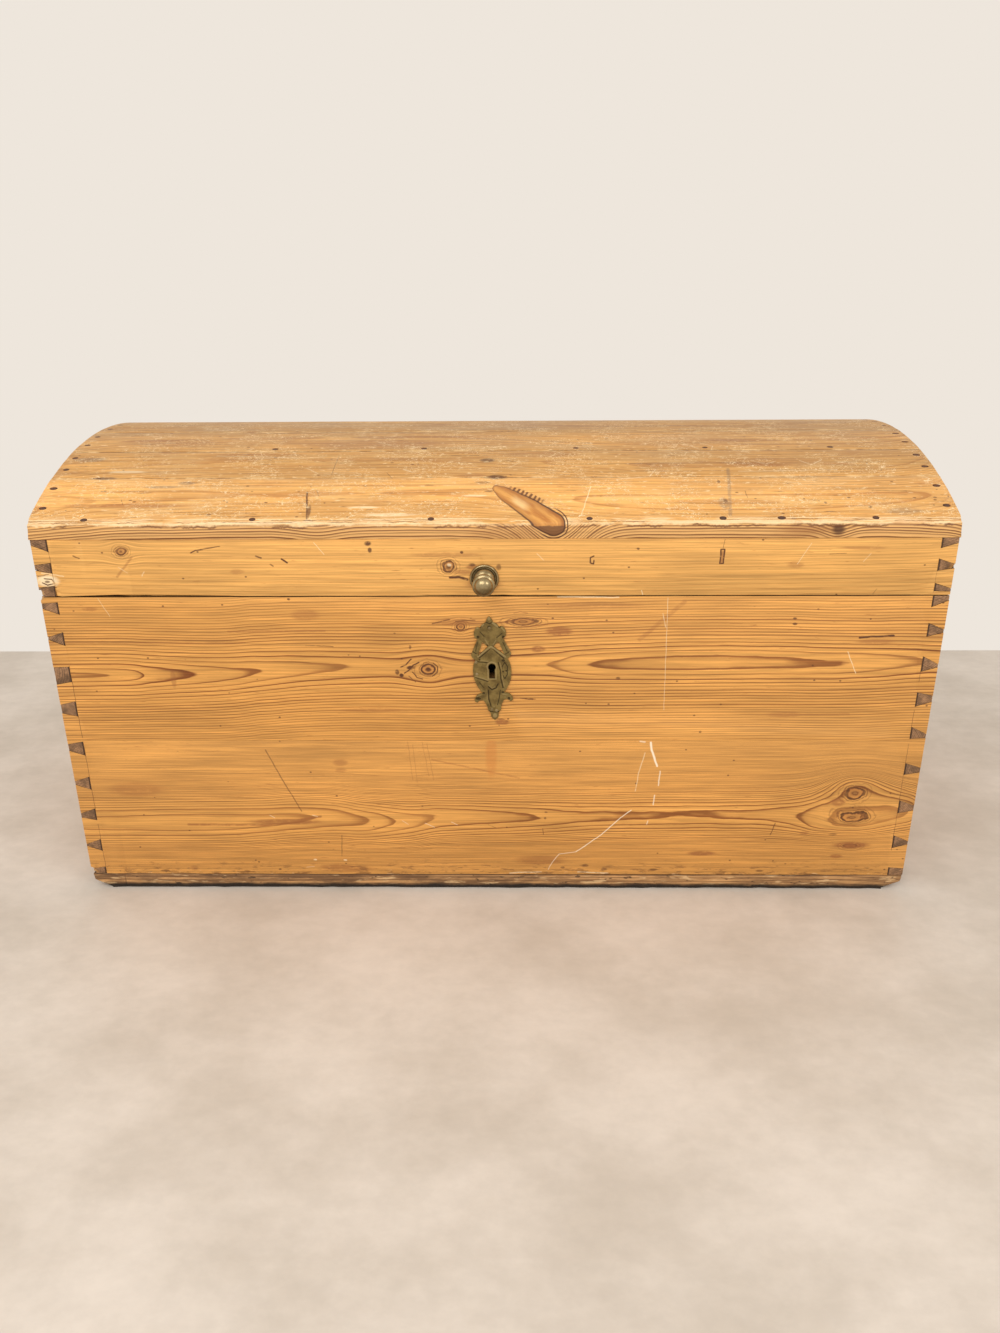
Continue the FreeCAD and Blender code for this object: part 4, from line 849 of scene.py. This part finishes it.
def dark_iron(name, light=(62, 56, 52), rust=(104, 62, 38), amount=0.5, metallic=0.6):
    recipe = Recipe(name)
    cloud = recipe.noise(recipe.place, (60, 60, 60), 5.0, 0.65)
    fine = recipe.noise(recipe.place, (700, 700, 700), 3.0, 0.6)
    colour = recipe.mix(recipe.rise(cloud, 0.42, 0.7) * amount, linear(light), linear(rust))
    colour = recipe.stain(colour, recipe.rise(fine, 0.5, 0.8) * 0.6, "iron pit")
    roughness = recipe.rise(cloud, 0.3, 0.7, 0.45, 0.75)
    normal = recipe.bump(fine + cloud, 0.25 * mm, 0.6)
    return recipe.finish(colour, roughness, normal, Metallic=metallic)


def nail_stain(name):
    """Wood round a sunk nail head, blackened by its rust."""
    recipe = Recipe(name)
    cloud = recipe.noise(recipe.place, (300, 300, 300), 4.0, 0.65)
    colour = recipe.mix(recipe.rise(cloud, 0.35, 0.7), shade("nail stain"), shade("nail stain edge"))
    return recipe.finish(colour, 0.8, recipe.bump(cloud, 0.2 * mm, 0.6))


plate_brass = aged_brass("aged_brass", ((150, 130, 80), (112, 94, 56), (62, 52, 34)), 0.34, 0.10, 0.4)
turned_brass = aged_brass("turned_brass", ((168, 150, 112), (126, 108, 74), (70, 58, 36)), 0.25, 0.002, 0.1)
iron = dark_iron("dark_iron")
rusty = dark_iron("rusty_nails", (84, 56, 40), (112, 68, 42), 1.0, 0.1)
stained = nail_stain("nail_stain")

finishes = {
    "front_upper_board": upper_front, "front_lower_board": lower_front,
    "back_upper_board": back_boards, "back_lower_board": back_boards,
    "left_end_upper_board": left_boards, "left_end_lower_board": left_boards,
    "right_end_upper_board": right_boards, "right_end_lower_board": right_boards,
    "floor_front_board": floor_boards, "floor_middle_board": floor_boards, "floor_back_board": floor_boards,
    "lid_front_rail": front_rail, "lid_back_rail": back_boards,
    "lid_left_end": left_boards, "lid_right_end": right_boards,
    "dome_front_batten": inside_boards, "dome_back_batten": inside_boards,
    "dome_nails": rusty, "floor_nails": rusty,
    "escutcheon": plate_brass, "escutcheon_pins": turned_brass, "knob": turned_brass, "knob_rosette": turned_brass,
}
for index, boards in enumerate(dome_boards):
    finishes["dome_plank_" + str(index + 1)] = boards
for name, node in nodes.items():
    node.data.materials.clear()
    node.data.materials.append(finishes.get(name, iron))


# Boards: each gets softened edges, with wear where hands and floors rub it

chance = random.Random(7)
weld_distance = 0.01 * mm
sharp_edge = math.radians(40)
inner_half_depth = -front_y - 24 * mm


def only(piece):
    bpy.ops.object.select_all(action="DESELECT")
    piece.select_set(True)
    bpy.context.view_layer.objects.active = piece


def edit_mesh(whole=True):
    """Opens the active piece's mesh, with all or none of it selected."""
    bpy.ops.object.mode_set(mode="EDIT")
    bpy.ops.mesh.select_all(action="SELECT" if whole else "DESELECT")


def close_mesh():
    bpy.ops.object.mode_set(mode="OBJECT")


def smooth(angle=32):
    bpy.ops.object.shade_smooth_by_angle(angle=math.radians(angle))


def merged_copy(node_name, piece_name):
    """A CAD board's shape with its triangles joined into whole faces."""
    piece = bpy.data.objects.new(piece_name, nodes[node_name].data.copy())
    bpy.context.scene.collection.objects.link(piece)
    only(piece)
    edit_mesh()
    bpy.ops.mesh.remove_doubles(threshold=weld_distance)
    bpy.ops.mesh.dissolve_limited(angle_limit=math.radians(0.6))
    close_mesh()
    return piece


def cut_across(piece, axis, places):
    """Cuts that let a long edge be worn unevenly."""
    only(piece)
    edit_mesh()
    normal = [0, 0, 0]
    normal[axis] = 1
    for place in places:
        centre = [0, 0, 0]
        centre[axis] = place
        bpy.ops.mesh.select_all(action="SELECT")
        bpy.ops.mesh.bisect(plane_co=centre, plane_no=normal)
    close_mesh()


def edge_group(piece, weigh):
    """Vertex group of the points on sharp edges, weighed by their place."""
    group = piece.vertex_groups.new(name="edges")
    only(piece)
    edit_mesh(whole=False)
    bpy.ops.mesh.select_mode(type="EDGE")
    bpy.ops.mesh.edges_select_sharp(sharpness=sharp_edge)
    close_mesh()
    for point in [point for point in piece.data.vertices if point.select]:
        weight = weigh(point.co)
        if weight > 0:
            group.add([point.index], min(weight, 1.0), "REPLACE")
    return group


def wear(piece, group, depth, grain_size):
    """Rubs the points of a group inwards by an uneven depth."""
    texture = bpy.data.textures.new(piece.name + "_wear", "CLOUDS")
    texture.noise_scale = grain_size
    texture.noise_depth = 2
    modifier = piece.modifiers.new("wear", "DISPLACE")
    modifier.texture = texture
    modifier.texture_coords = "LOCAL"
    modifier.mid_level = 0.0
    modifier.strength = -depth
    modifier.vertex_group = group.name
    only(piece)
    bpy.ops.object.modifier_apply(modifier="wear")


def soften(piece, width):
    modifier = piece.modifiers.new("soften", "BEVEL")
    modifier.width = width
    modifier.segments = 2
    modifier.limit_method = "ANGLE"
    modifier.angle_limit = math.radians(35)
    only(piece)
    bpy.ops.object.modifier_apply(modifier="soften")
    smooth()


def finish_piece(piece, node_name, body):
    if not piece.data.materials:
        piece.data.materials.append(finishes[node_name])
    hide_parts(node_name)
    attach(piece, body)


def steps(low, high, pitch):
    """Uneven steps from low to high."""
    places = []
    place = low + pitch * chance.uniform(0.3, 0.8)
    while place < high - 0.3 * pitch:
        places.append(place)
        place += pitch * chance.uniform(0.75, 1.25)
    return places


def pitch_of(name, fine):
    """Distance between the cuts, in millimetres: boards that face the camera are cut finer."""
    return fine if "front" in name else 90


def worn_board(name, body, axis, pitch, weigh, depth, grain_size, edge=0.5, shape=None):
    """Board with rubbed edges, in millimetres: axis 0 runs along the trunk and 1 across it."""
    board = merged_copy(name, name + "_worn")
    if shape:
        shape(board)
    reach = inner_half_depth if axis else inner_half_length
    cut_across(board, axis, steps(-reach, reach, pitch * mm))
    wear(board, edge_group(board, weigh), depth * mm, grain_size)
    soften(board, edge * mm)
    finish_piece(board, name, body)


def face_edge_weight(point):
    """Front and back faces' long edges, strongest at the seam and the foot."""
    if abs(point.y) <= abs(front_y) - 1 * mm:
        return 0.0
    return 0.9 if abs(point.z - seam) < 2 * mm or point.z < 24 * mm else 0.25


for name in ("front_upper_board", "front_lower_board", "back_upper_board", "back_lower_board"):
    worn_board(name, "chest", 0, pitch_of(name, 16), face_edge_weight, 0.9, 0.014)

for side in ("left", "right"):
    for name in (side + "_end_upper_board", side + "_end_lower_board", "lid_" + side + "_end"):
        body = "lid" if "lid" in name else "chest"
        worn_board(name, body, 1, 60, lambda point: 0.8, 0.9, 0.01)


def rail_edge_weight(point):
    """The rail's lower edge is worn most towards the left, where the seam gapes."""
    if point.z > lid_low.z + 2 * mm:
        return 0.2
    left = max(0.0, min(1.0, (-0.28 - point.x) / 0.12))
    middle = max(0.0, 1 - abs(point.x) / 0.1)
    return 0.25 + 0.75 * max(left, 0.7 * middle)


for name in ("lid_front_rail", "lid_back_rail"):
    worn_board(name, "lid", 0, pitch_of(name, 14), rail_edge_weight, 3.6, 0.02)


def loose_parts(node_name):
    """Middle of each separate part of a CAD node, such as one nail of a row."""
    merged_copy(node_name, node_name + "_count")
    bpy.ops.object.mode_set(mode="EDIT")
    bpy.ops.mesh.separate(type="LOOSE")
    close_mesh()
    middles = []
    for part in bpy.context.selected_objects:
        corners = [Vector(corner) for corner in part.bound_box]
        middles.append((corners[0] + corners[6]) / 2)
    bpy.ops.object.delete()
    return middles


def cut_away(piece, cutters):
    """Takes the cutters' shapes out of a piece."""
    only(cutters[0])
    for cutter in cutters:
        cutter.select_set(True)
    if len(cutters) > 1:
        bpy.ops.object.join()
    tool = bpy.context.object
    modifier = piece.modifiers.new("cut", "BOOLEAN")
    modifier.operation = "DIFFERENCE"
    modifier.solver = "EXACT"
    modifier.material_mode = "TRANSFER"
    modifier.object = tool
    only(piece)
    bpy.ops.object.modifier_apply(modifier="cut")
    only(tool)
    bpy.ops.object.delete()
    only(piece)
    smooth()


plank_thickness = 16 * mm


def dome_plank(index, start, end):
    """Bent board: a strip swung about the dome's axis from one seam to the next."""
    outermost = index in outer_planks
    # Planks that face the camera are cut finer
    along = 72 if index <= plank_count // 2 else 24
    middle = dome_radius - plank_thickness / 2
    bpy.ops.object.select_all(action="DESELECT")
    bpy.ops.mesh.primitive_grid_add(
        x_subdivisions=along, y_subdivisions=1, size=1, rotation=(math.pi / 2 - start, 0, 0),
        location=(0, math.sin(start) * middle, dome_centre_z + math.cos(start) * middle))
    plank = bpy.context.object
    plank.name = "dome_plank_" + str(index + 1) + "_worn"
    plank.scale = (2 * first_high.x, plank_thickness, 1)
    bpy.ops.object.transform_apply(location=True, rotation=True, scale=True)
    edit_mesh()
    count = max(6, round((end - start) * dome_radius / (8 * mm)))
    bpy.ops.mesh.spin(steps=count, angle=end - start, center=(0, 0, dome_centre_z), axis=(1, 0, 0))
    bpy.ops.mesh.select_all(action="SELECT")
    bpy.ops.mesh.remove_doubles(threshold=weld_distance)
    if outermost:
        side = -1 if index == 0 else 1
        bpy.ops.mesh.select_all(action="SELECT")
        bpy.ops.mesh.bisect(plane_co=(0, side * abs(arris_y), 0), plane_no=(0, side, 0), use_fill=True,
                            clear_outer=True)
    bpy.ops.mesh.select_all(action="SELECT")
    bpy.ops.mesh.normals_make_consistent(inside=False)
    close_mesh()
    waves = plank.vertex_groups.new(name="waves")
    outside = [point.index for point in plank.data.vertices
               if math.hypot(point.co.y, point.co.z - dome_centre_z) > dome_radius - 1 * mm]
    waves.add(outside, 1.0, "REPLACE")
    wear(plank, waves, 0.5 * mm, 0.03)

    def weight(point):
        arris = outermost and abs(point.y) > abs(arris_y) - 8 * mm and point.z > rail_top + 6 * mm
        return 1.0 if arris else 0.16

    wear(plank, edge_group(plank, weight), 3.2 * mm, 0.012)
    soften(plank, (1.5 if outermost else 0.7) * mm)
    plank.data.materials.append(dome_boards[index])
    return plank


def nail_dent(place, angle):
    """Cone that leaves a shallow stained dent in the dome round a nail, which sits at an angle from the crown."""
    surface = dome_radius - 0.2 * mm
    bpy.ops.mesh.primitive_cone_add(
        vertices=16, radius1=chance.uniform(1.8, 2.4) * mm, radius2=chance.uniform(3.8, 4.6) * mm,
        depth=2.2 * mm, rotation=(-angle, 0, 0), scale=(chance.uniform(1.2, 1.6), 1, 1),
        location=(place.x, math.sin(angle) * surface, dome_centre_z + math.cos(angle) * surface))
    dent = bpy.context.object
    dent.data.materials.append(stained)
    return dent


nail_places = loose_parts("dome_nails")
# The outer planks start beyond the arris, by an angle, and are then cut off at it
overhang = 0.02
seams = [arris_angle - overhang, *plank_joints, overhang - arris_angle]
for index, (start, end) in enumerate(zip(seams, seams[1:])):
    plank = dome_plank(index, start, end)
    dents = []
    for place in nail_places:
        angle = math.atan2(place.y, place.z - dome_centre_z)
        if start < angle < end:
            dents.append(nail_dent(place, angle))
    if dents:
        cut_away(plank, dents)
    finish_piece(plank, "dome_plank_" + str(index + 1), "lid")


def chip(piece_name, place, size):
    """Knocks a rough bite out of a board's corner."""
    piece = bpy.data.objects[piece_name]
    bpy.ops.object.select_all(action="DESELECT")
    bpy.ops.mesh.primitive_ico_sphere_add(subdivisions=3, radius=1, location=Vector(place) * mm,
                                          scale=Vector(size) * mm, rotation=(0.4, 0.7, 0.2))
    bite = bpy.context.object
    bpy.ops.object.transform_apply(location=True, rotation=True, scale=True)
    edit_mesh()
    bpy.ops.transform.vertex_random(offset=0.12 * min(size) * mm, seed=3)
    close_mesh()
    bite.data.materials.append(inside_boards)
    cut_away(piece, [bite])


corner = half_length / mm
front = front_y / mm
for board, place, size in (
        ("lid_front_rail", (-corner, front, 413), (5, 7, 7)),
        ("lid_left_end", (-corner, front, 413), (5, 7, 7)),
        ("front_upper_board", (-corner, front, 410), (4, 6, 4)),
        ("left_end_upper_board", (-corner, front, 410), (4, 6, 4)),
        ("lid_left_end", (-corner, front, 440), (2.4, 5, 6)),
        ("left_end_lower_board", (-corner, front, 26), (7, 8, 6)),
        ("front_lower_board", (-corner, front, 26), (7, 8, 6)),
        ("front_upper_board", (corner, front, 411), (3, 5, 3)),
        ("right_end_upper_board", (corner, front, 300), (2, 4, 9)),
        ("lid_right_end", (corner, front, 446), (2, 4, 7))):
    chip(board + "_worn", place, size)


def foot_weight(point):
    """The front and back edges of the floor are worn most."""
    return 1.0 if abs(point.y) > 250 * mm else 0.2


def cut_back_ends(board):
    """Slants a floor board's ends inwards towards the underside."""
    only(board)
    for side in (-1, 1):
        edit_mesh()
        bpy.ops.mesh.bisect(plane_co=(side * half_length, 0, 12 * mm), plane_no=(side * 0.44, 0, -0.9),
                            use_fill=True, clear_outer=True)
    close_mesh()


for name in ("floor_front_board", "floor_middle_board", "floor_back_board"):
    worn_board(name, "chest", 0, pitch_of(name, 15), foot_weight, 3.0, 0.016, edge=2.4,
               shape=cut_back_ends)


# Brass: key plate with its raised and cut ornament, rosette and pull

# Ornament of the key plate from the keyhole's middle: (height, width, point, point, ...) ridges and grooves,
# (height, (x, z), (rx, rz)) bosses and pits, all in millimetres
plate_ornament = [
    (0.9, (-3, 63.2), (2.2, 3.6)), (-0.4, 1.0, (-6.6, 58.2), (-2.8, 56.4), (1.0, 58.2)),
    (0.5, 1.6, (-9.9, 55.6), (-12.2, 52.6)), (0.6, 1.6, (1.4, 57.2), (7.0, 52.6)), (-0.5, (-3.1, 51.8), (2.4, 2.2)),
    (-0.7, (-13.6, 52.4), (2.0, 1.7)), (-0.7, (9.6, 52.4), (2.0, 1.7)), (-0.6, (-16.6, 39.2), (2.0, 2.0)),
    (-0.6, (13.8, 39.2), (2.0, 2.0)), (0.45, 1.4, (-21.0, 50.0), (-16.0, 50.6)),
    (0.45, 1.4, (12.0, 51.0), (15.6, 46.8)),
    (-0.35, 0.9, (-9.0, 40.0), (-14.0, 46.0)), (-0.35, 0.9, (6.0, 38.5), (12.5, 44.0)),
    (0.4, 1.5, (-8.0, 36.0), (-4.4, 30.0)), (0.4, 1.5, (5.0, 35.0), (1.6, 29.5)), (-0.6, (-5.6, 28.4), (1.6, 1.6)),
    (0.5, 1.3, (-20.0, 34.0), (-25.0, 19.5)), (0.5, 1.3, (16.5, 33.5), (22.8, 18.0)),
    (-0.35, 0.8, (-16.8, 33.0), (-19.6, 21.0)), (-0.35, 0.8, (13.4, 33.0), (18.4, 21.0)),
    (-0.4, 0.9, (-24.2, 21.0), (-18.6, 17.6)), (-0.4, 0.9, (21.6, 20.6), (16.4, 17.2)),
    (0.75, 1.5, (-1.3, 26.6), (-16.6, 13.8)), (0.75, 1.5, (-0.3, 26.6), (16.2, 13.6)),
    (-0.5, 1.2, (-2.6, 24.0), (-15.2, 12.4)), (-0.4, 1.2, (1.6, 24.0), (14.4, 11.8)),
    (0.4, 1.2, (-16.0, 9.0), (-4.4, 7.8)), (-0.45, 1.0, (-16.6, 7.2), (-6.0, 6.2)), (-0.8, (-15.0, 9.6), (1.5, 1.3)),
    (-0.8, (13.8, 9.0), (2.2, 1.7)), (0.6, 1.5, (-5.9, 1.0), (-4.4, 5.0), (0.0, 6.8), (4.4, 5.0), (5.9, 1.0)),
    (0.55, 1.4, (-5.9, 1.0), (-4.9, -3.4), (-4.7, -15.4), (4.9, -15.4), (4.9, -3.4), (5.9, 1.0)),
    (-0.5, 1.1, (7.8, 6.0), (10.2, -4.0), (10.8, -15.0), (13.4, -27.0)),
    (0.4, 1.2, (9.6, 6.0), (12.0, -4.0), (12.6, -14.6), (15.0, -25.0)),
    (-0.4, 0.9, (15.6, 6.6), (12.4, 1.0), (12.6, -9.0), (15.6, -15.2), (18.8, -9.0), (19.0, 1.0), (15.6, 6.6)),
    (-0.8, (13.4, -5.6), (1.5, 1.2)), (-0.8, (17.8, -4.6), (1.8, 1.3)),
    (0.45, 1.2, (-20.2, -12.0), (-11.4, -14.6), (-5.0, -17.0)),
    (-0.45, 0.9, (-20.0, -13.6), (-11.6, -16.4), (-5.0, -19.0)), (-0.35, 0.8, (-15.6, -20.0), (-10.0, -27.0)),
    (-0.5, 1.1, (-4.6, -25.6), (-0.4, -29.6), (4.6, -27.4), (7.4, -21.8)),
    (0.4, 1.1, (-4.2, -23.8), (-0.2, -27.6), (3.6, -25.8)),
    (-0.55, 1.1, (-4.8, -30.4), (-4.3, -42.4), (-1.6, -52.0)), (0.35, 1.1, (-6.4, -31.0), (-5.9, -42.4), (-3.2, -51.0)),
    (-0.4, 0.9, (10.0, -30.0), (8.4, -42.0), (6.4, -50.0)), (-0.7, (-10.6, -34.2), (2.2, 1.4)),
    (-0.7, (13.2, -33.0), (2.0, 1.4)), (-0.8, (-17.2, -41.6), (3.6, 1.9)), (-0.8, (20.6, -41.2), (1.9, 1.9)),
    (0.45, 1.1, (-20.4, -39.0), (-13.8, -37.0)), (0.45, 1.1, (13.0, -35.8), (18.6, -36.6)),
    (0.5, (2.2, -52.6), (1.4, 1.2)), (-0.5, 0.9, (-3.6, -58.6), (3.4, -60.0), (8.6, -58.8)),
    (0.7, (3.2, -64.6), (3.2, 3.6)),
]


# The keyhole's middle, and the real height of an ornament 1 high
keyhole_x, keyhole_z = -1.0 * mm, seam - 90.0 * mm
relief_height = 0.65 * mm


def ornament_height(x, z):
    """Height of the plate's ornament, in millimetres, at a place given from the keyhole's middle."""
    raised, sunk = 0.0, 0.0
    place = Vector((x, z))
    for height, *shape in plate_ornament:
        if isinstance(shape[0], tuple):
            middle, radii = shape
            size = math.hypot((x - middle[0]) / radii[0], (z - middle[1]) / radii[1])
            amount = max(0.0, 1 - size ** 3)
        else:
            width, *points = shape
            gaps = []
            for start, end in zip(points, points[1:]):
                start, end = Vector(start), Vector(end)
                share = max(0.0, min(1.0, (place - start).dot(end - start) / (end - start).length_squared))
                gaps.append((place - start - (end - start) * share).length)
            amount = max(0.0, 1 - (min(gaps) / width) ** 2)
        if height > 0:
            raised = max(raised, height * amount)
        else:
            sunk = min(sunk, height * amount)
    return raised + sunk


def dressed_plate():
    plate = merged_copy("escutcheon", "escutcheon_cast")
    soften(plate, 0.5 * mm)
    low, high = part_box("escutcheon")
    cell = 0.7 * mm
    for axis, start, end in ((0, low.x, high.x), (2, low.z, high.z)):
        count = int((end - start) / cell)
        cut_across(plate, axis, [start + (end - start) * (step + 0.5) / count for step in range(count)])
    group = plate.vertex_groups.new(name="ornament")
    heights = []
    for point in plate.data.vertices:
        x, y, z = point.co
        on_face = y < low.y + 0.05 * mm
        heights.append(ornament_height((x - keyhole_x) / mm, (z - keyhole_z) / mm) if on_face else 0.0)
    for index, height in enumerate(heights):
        group.add([index], (height + 1) / 2, "REPLACE")
    modifier = plate.modifiers.new("ornament", "DISPLACE")
    modifier.direction = "Y"
    modifier.mid_level = 0.0
    modifier.strength = -2 * relief_height
    modifier.vertex_group = group.name
    only(plate)
    bpy.ops.object.modifier_apply(modifier="ornament")
    plate.location.y = relief_height
    bpy.ops.object.transform_apply(location=True, rotation=True, scale=True)
    smooth(50)
    relief = plate.data.attributes.new("relief", "FLOAT", "POINT")
    relief.data.foreach_set("value", heights)
    finish_piece(plate, "escutcheon", "chest")


def turned_piece(name, profile, x, z, node_name):
    """A profile of (radius, distance out from the trunk's front), swung about its axis as on a lathe."""
    rows = [(radius * mm, out * mm) for radius, out in profile]
    bpy.ops.object.select_all(action="DESELECT")
    bpy.ops.mesh.primitive_plane_add(size=1 * mm, location=(x, front_y - rows[0][1], z + rows[0][0]))
    piece = bpy.context.object
    piece.name = name
    bpy.ops.object.transform_apply(location=True, rotation=True, scale=True)
    bpy.ops.object.mode_set(mode="EDIT")
    bpy.ops.mesh.select_mode(type="VERT")
    bpy.ops.mesh.select_all(action="SELECT")
    bpy.ops.mesh.merge(type="CENTER")
    for before, after in zip(rows, rows[1:]):
        step = (0, before[1] - after[1], after[0] - before[0])
        bpy.ops.mesh.extrude_region_move(TRANSFORM_OT_translate={"value": step})
    bpy.ops.mesh.select_all(action="SELECT")
    bpy.ops.mesh.spin(steps=96, angle=2 * math.pi, center=(x, front_y, z), axis=(0, 1, 0))
    bpy.ops.mesh.select_all(action="SELECT")
    bpy.ops.mesh.remove_doubles(threshold=weld_distance)
    bpy.ops.mesh.normals_make_consistent(inside=False)
    close_mesh()
    smooth(40)
    finish_piece(piece, node_name, "lid")


dressed_plate()
knob_low, knob_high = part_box("knob")
knob_x, knob_z = (knob_low.x + knob_high.x) / 2, (knob_low.z + knob_high.z) / 2
shank_end = (front_y - knob_high.y) / mm
knob_reach = (front_y - knob_low.y) / mm
turned_piece("knob_rosette_turned", [
    (4.2, 0), (17.2, 0), (17.4, 0.6), (17.4, 1.4), (17.0, 2.5), (16.3, 3.2), (15.5, 3.4), (14.8, 3.1), (14.3, 2.4),
    (14.0, 1.5), (13.6, 1.1), (13.1, 1.2), (12.8, 1.8), (12.7, 3.0), (12.3, 4.4), (11.6, 5.8), (10.6, 7.1), (9.4, 8.1),
    (8.0, 8.8), (6.6, 9.0), (4.2, 9.0), (4.2, 0)], knob_x, knob_z, "knob_rosette")
cap_radius, cap_height = 10.9, 8.2
cap = []
for turn in range(6, 90, 7):
    turn = math.radians(turn)
    cap.append((cap_radius * math.cos(turn), knob_reach - cap_height + cap_height * math.sin(turn)))
turned_piece("knob_turned", [
    (0, shank_end), (3.7, shank_end), (4.0, shank_end + 0.4), (4.0, 9.0), (6.4, 9.1), (6.3, 9.9), (5.6, 11.4),
    (5.2, 13.4), (5.2, 15.6), (5.7, 17.8), (6.8, 19.8), (8.4, 21.6), (10.3, 23.2), (12.0, 24.6), (12.9, 25.8),
    (13.3, 27.2), (13.4, 28.4), (13.2, 29.4), (12.8, 30.1), (12.2, 30.5), (11.6, 30.7)] + cap + [(0, knob_reach)],
    knob_x, knob_z, "knob")


# Camera, floor, backdrop and lights

# The camera's focal length is one frame wide
film_width = 36
focal_length = 1
camera_place = (0.0265, -1.405, 0.7794)
camera_turn = (-0.8999, 22.1358, -0.3939)


def aim(location, yaw, pitch, roll):
    """Camera turned by yaw to the right, pitch down and roll, all in degrees."""
    yaw, pitch, roll = (math.radians(angle) for angle in (yaw, pitch, roll))
    forward = Vector((math.sin(yaw) * math.cos(pitch), math.cos(yaw) * math.cos(pitch), -math.sin(pitch)))
    level = Vector((math.cos(yaw), -math.sin(yaw), 0))
    upright = level.cross(forward)
    right = level * math.cos(roll) + upright * math.sin(roll)
    up = upright * math.cos(roll) - level * math.sin(roll)
    data = bpy.data.cameras.new("camera")
    data.sensor_fit = "HORIZONTAL"
    data.sensor_width = film_width
    data.lens = film_width * focal_length
    camera = bpy.data.objects.new("camera", data)
    bpy.context.scene.collection.objects.link(camera)
    turn = Matrix((right, up, -forward)).transposed().to_4x4()
    camera.matrix_world = Matrix.Translation(location) @ turn
    bpy.context.scene.camera = camera


def stone_floor(name):
    recipe = Recipe(name)
    cloud = recipe.noise(recipe.place, (4, 5, 4), 6.0, 0.62)
    fine = recipe.noise(recipe.place, (40, 60, 40), 4.0, 0.65)
    colour = recipe.mix(recipe.rise(cloud, 0.3, 0.7), shade("floor light"), shade("floor dark"))
    colour = recipe.tinted(colour, recipe.rise(fine, 0.3, 0.7, 0.97, 1.03))
    return recipe.finish(colour, 0.6, recipe.bump(fine, 0.4 * mm, 0.3))


def studio_floor(size, middle):
    bpy.ops.object.select_all(action="DESELECT")
    bpy.ops.mesh.primitive_plane_add(size=1, location=(0, middle, 0))
    plane = bpy.context.object
    plane.name = "studio_floor"
    plane.scale = (*size, 1)
    bpy.ops.object.transform_apply(location=True, rotation=True, scale=True)
    plane.data.materials.append(stone_floor("studio_floor"))


def soft_light(name, location, target, size, power, colour):
    data = bpy.data.lights.new(name, "AREA")
    data.shape = "RECTANGLE"
    data.size, data.size_y = size
    data.energy = power
    data.color = colour
    light = bpy.data.objects.new(name, data)
    bpy.context.scene.collection.objects.link(light)
    light.location = location
    light.rotation_euler = (Vector(target) - Vector(location)).to_track_quat("-Z", "Y").to_euler()


aim(camera_place, *camera_turn)
studio_floor((6.0, 3.4), -1.1)
soft_light("key", (-0.9, -2.3, 2.3), (0, 0, 0.25), (2.2, 1.4), 34, (1.0, 0.98, 0.95))
soft_light("fill", (1.5, -1.9, 1.7), (0, 0, 0.3), (0.8, 0.8), 10, (1.0, 0.99, 0.97))
world = bpy.data.worlds.new("studio")
world.use_nodes = True
world.node_tree.nodes["Background"].inputs[0].default_value = shade("backdrop")
bpy.context.scene.world = world
bpy.context.scene.view_settings.view_transform = "Standard"
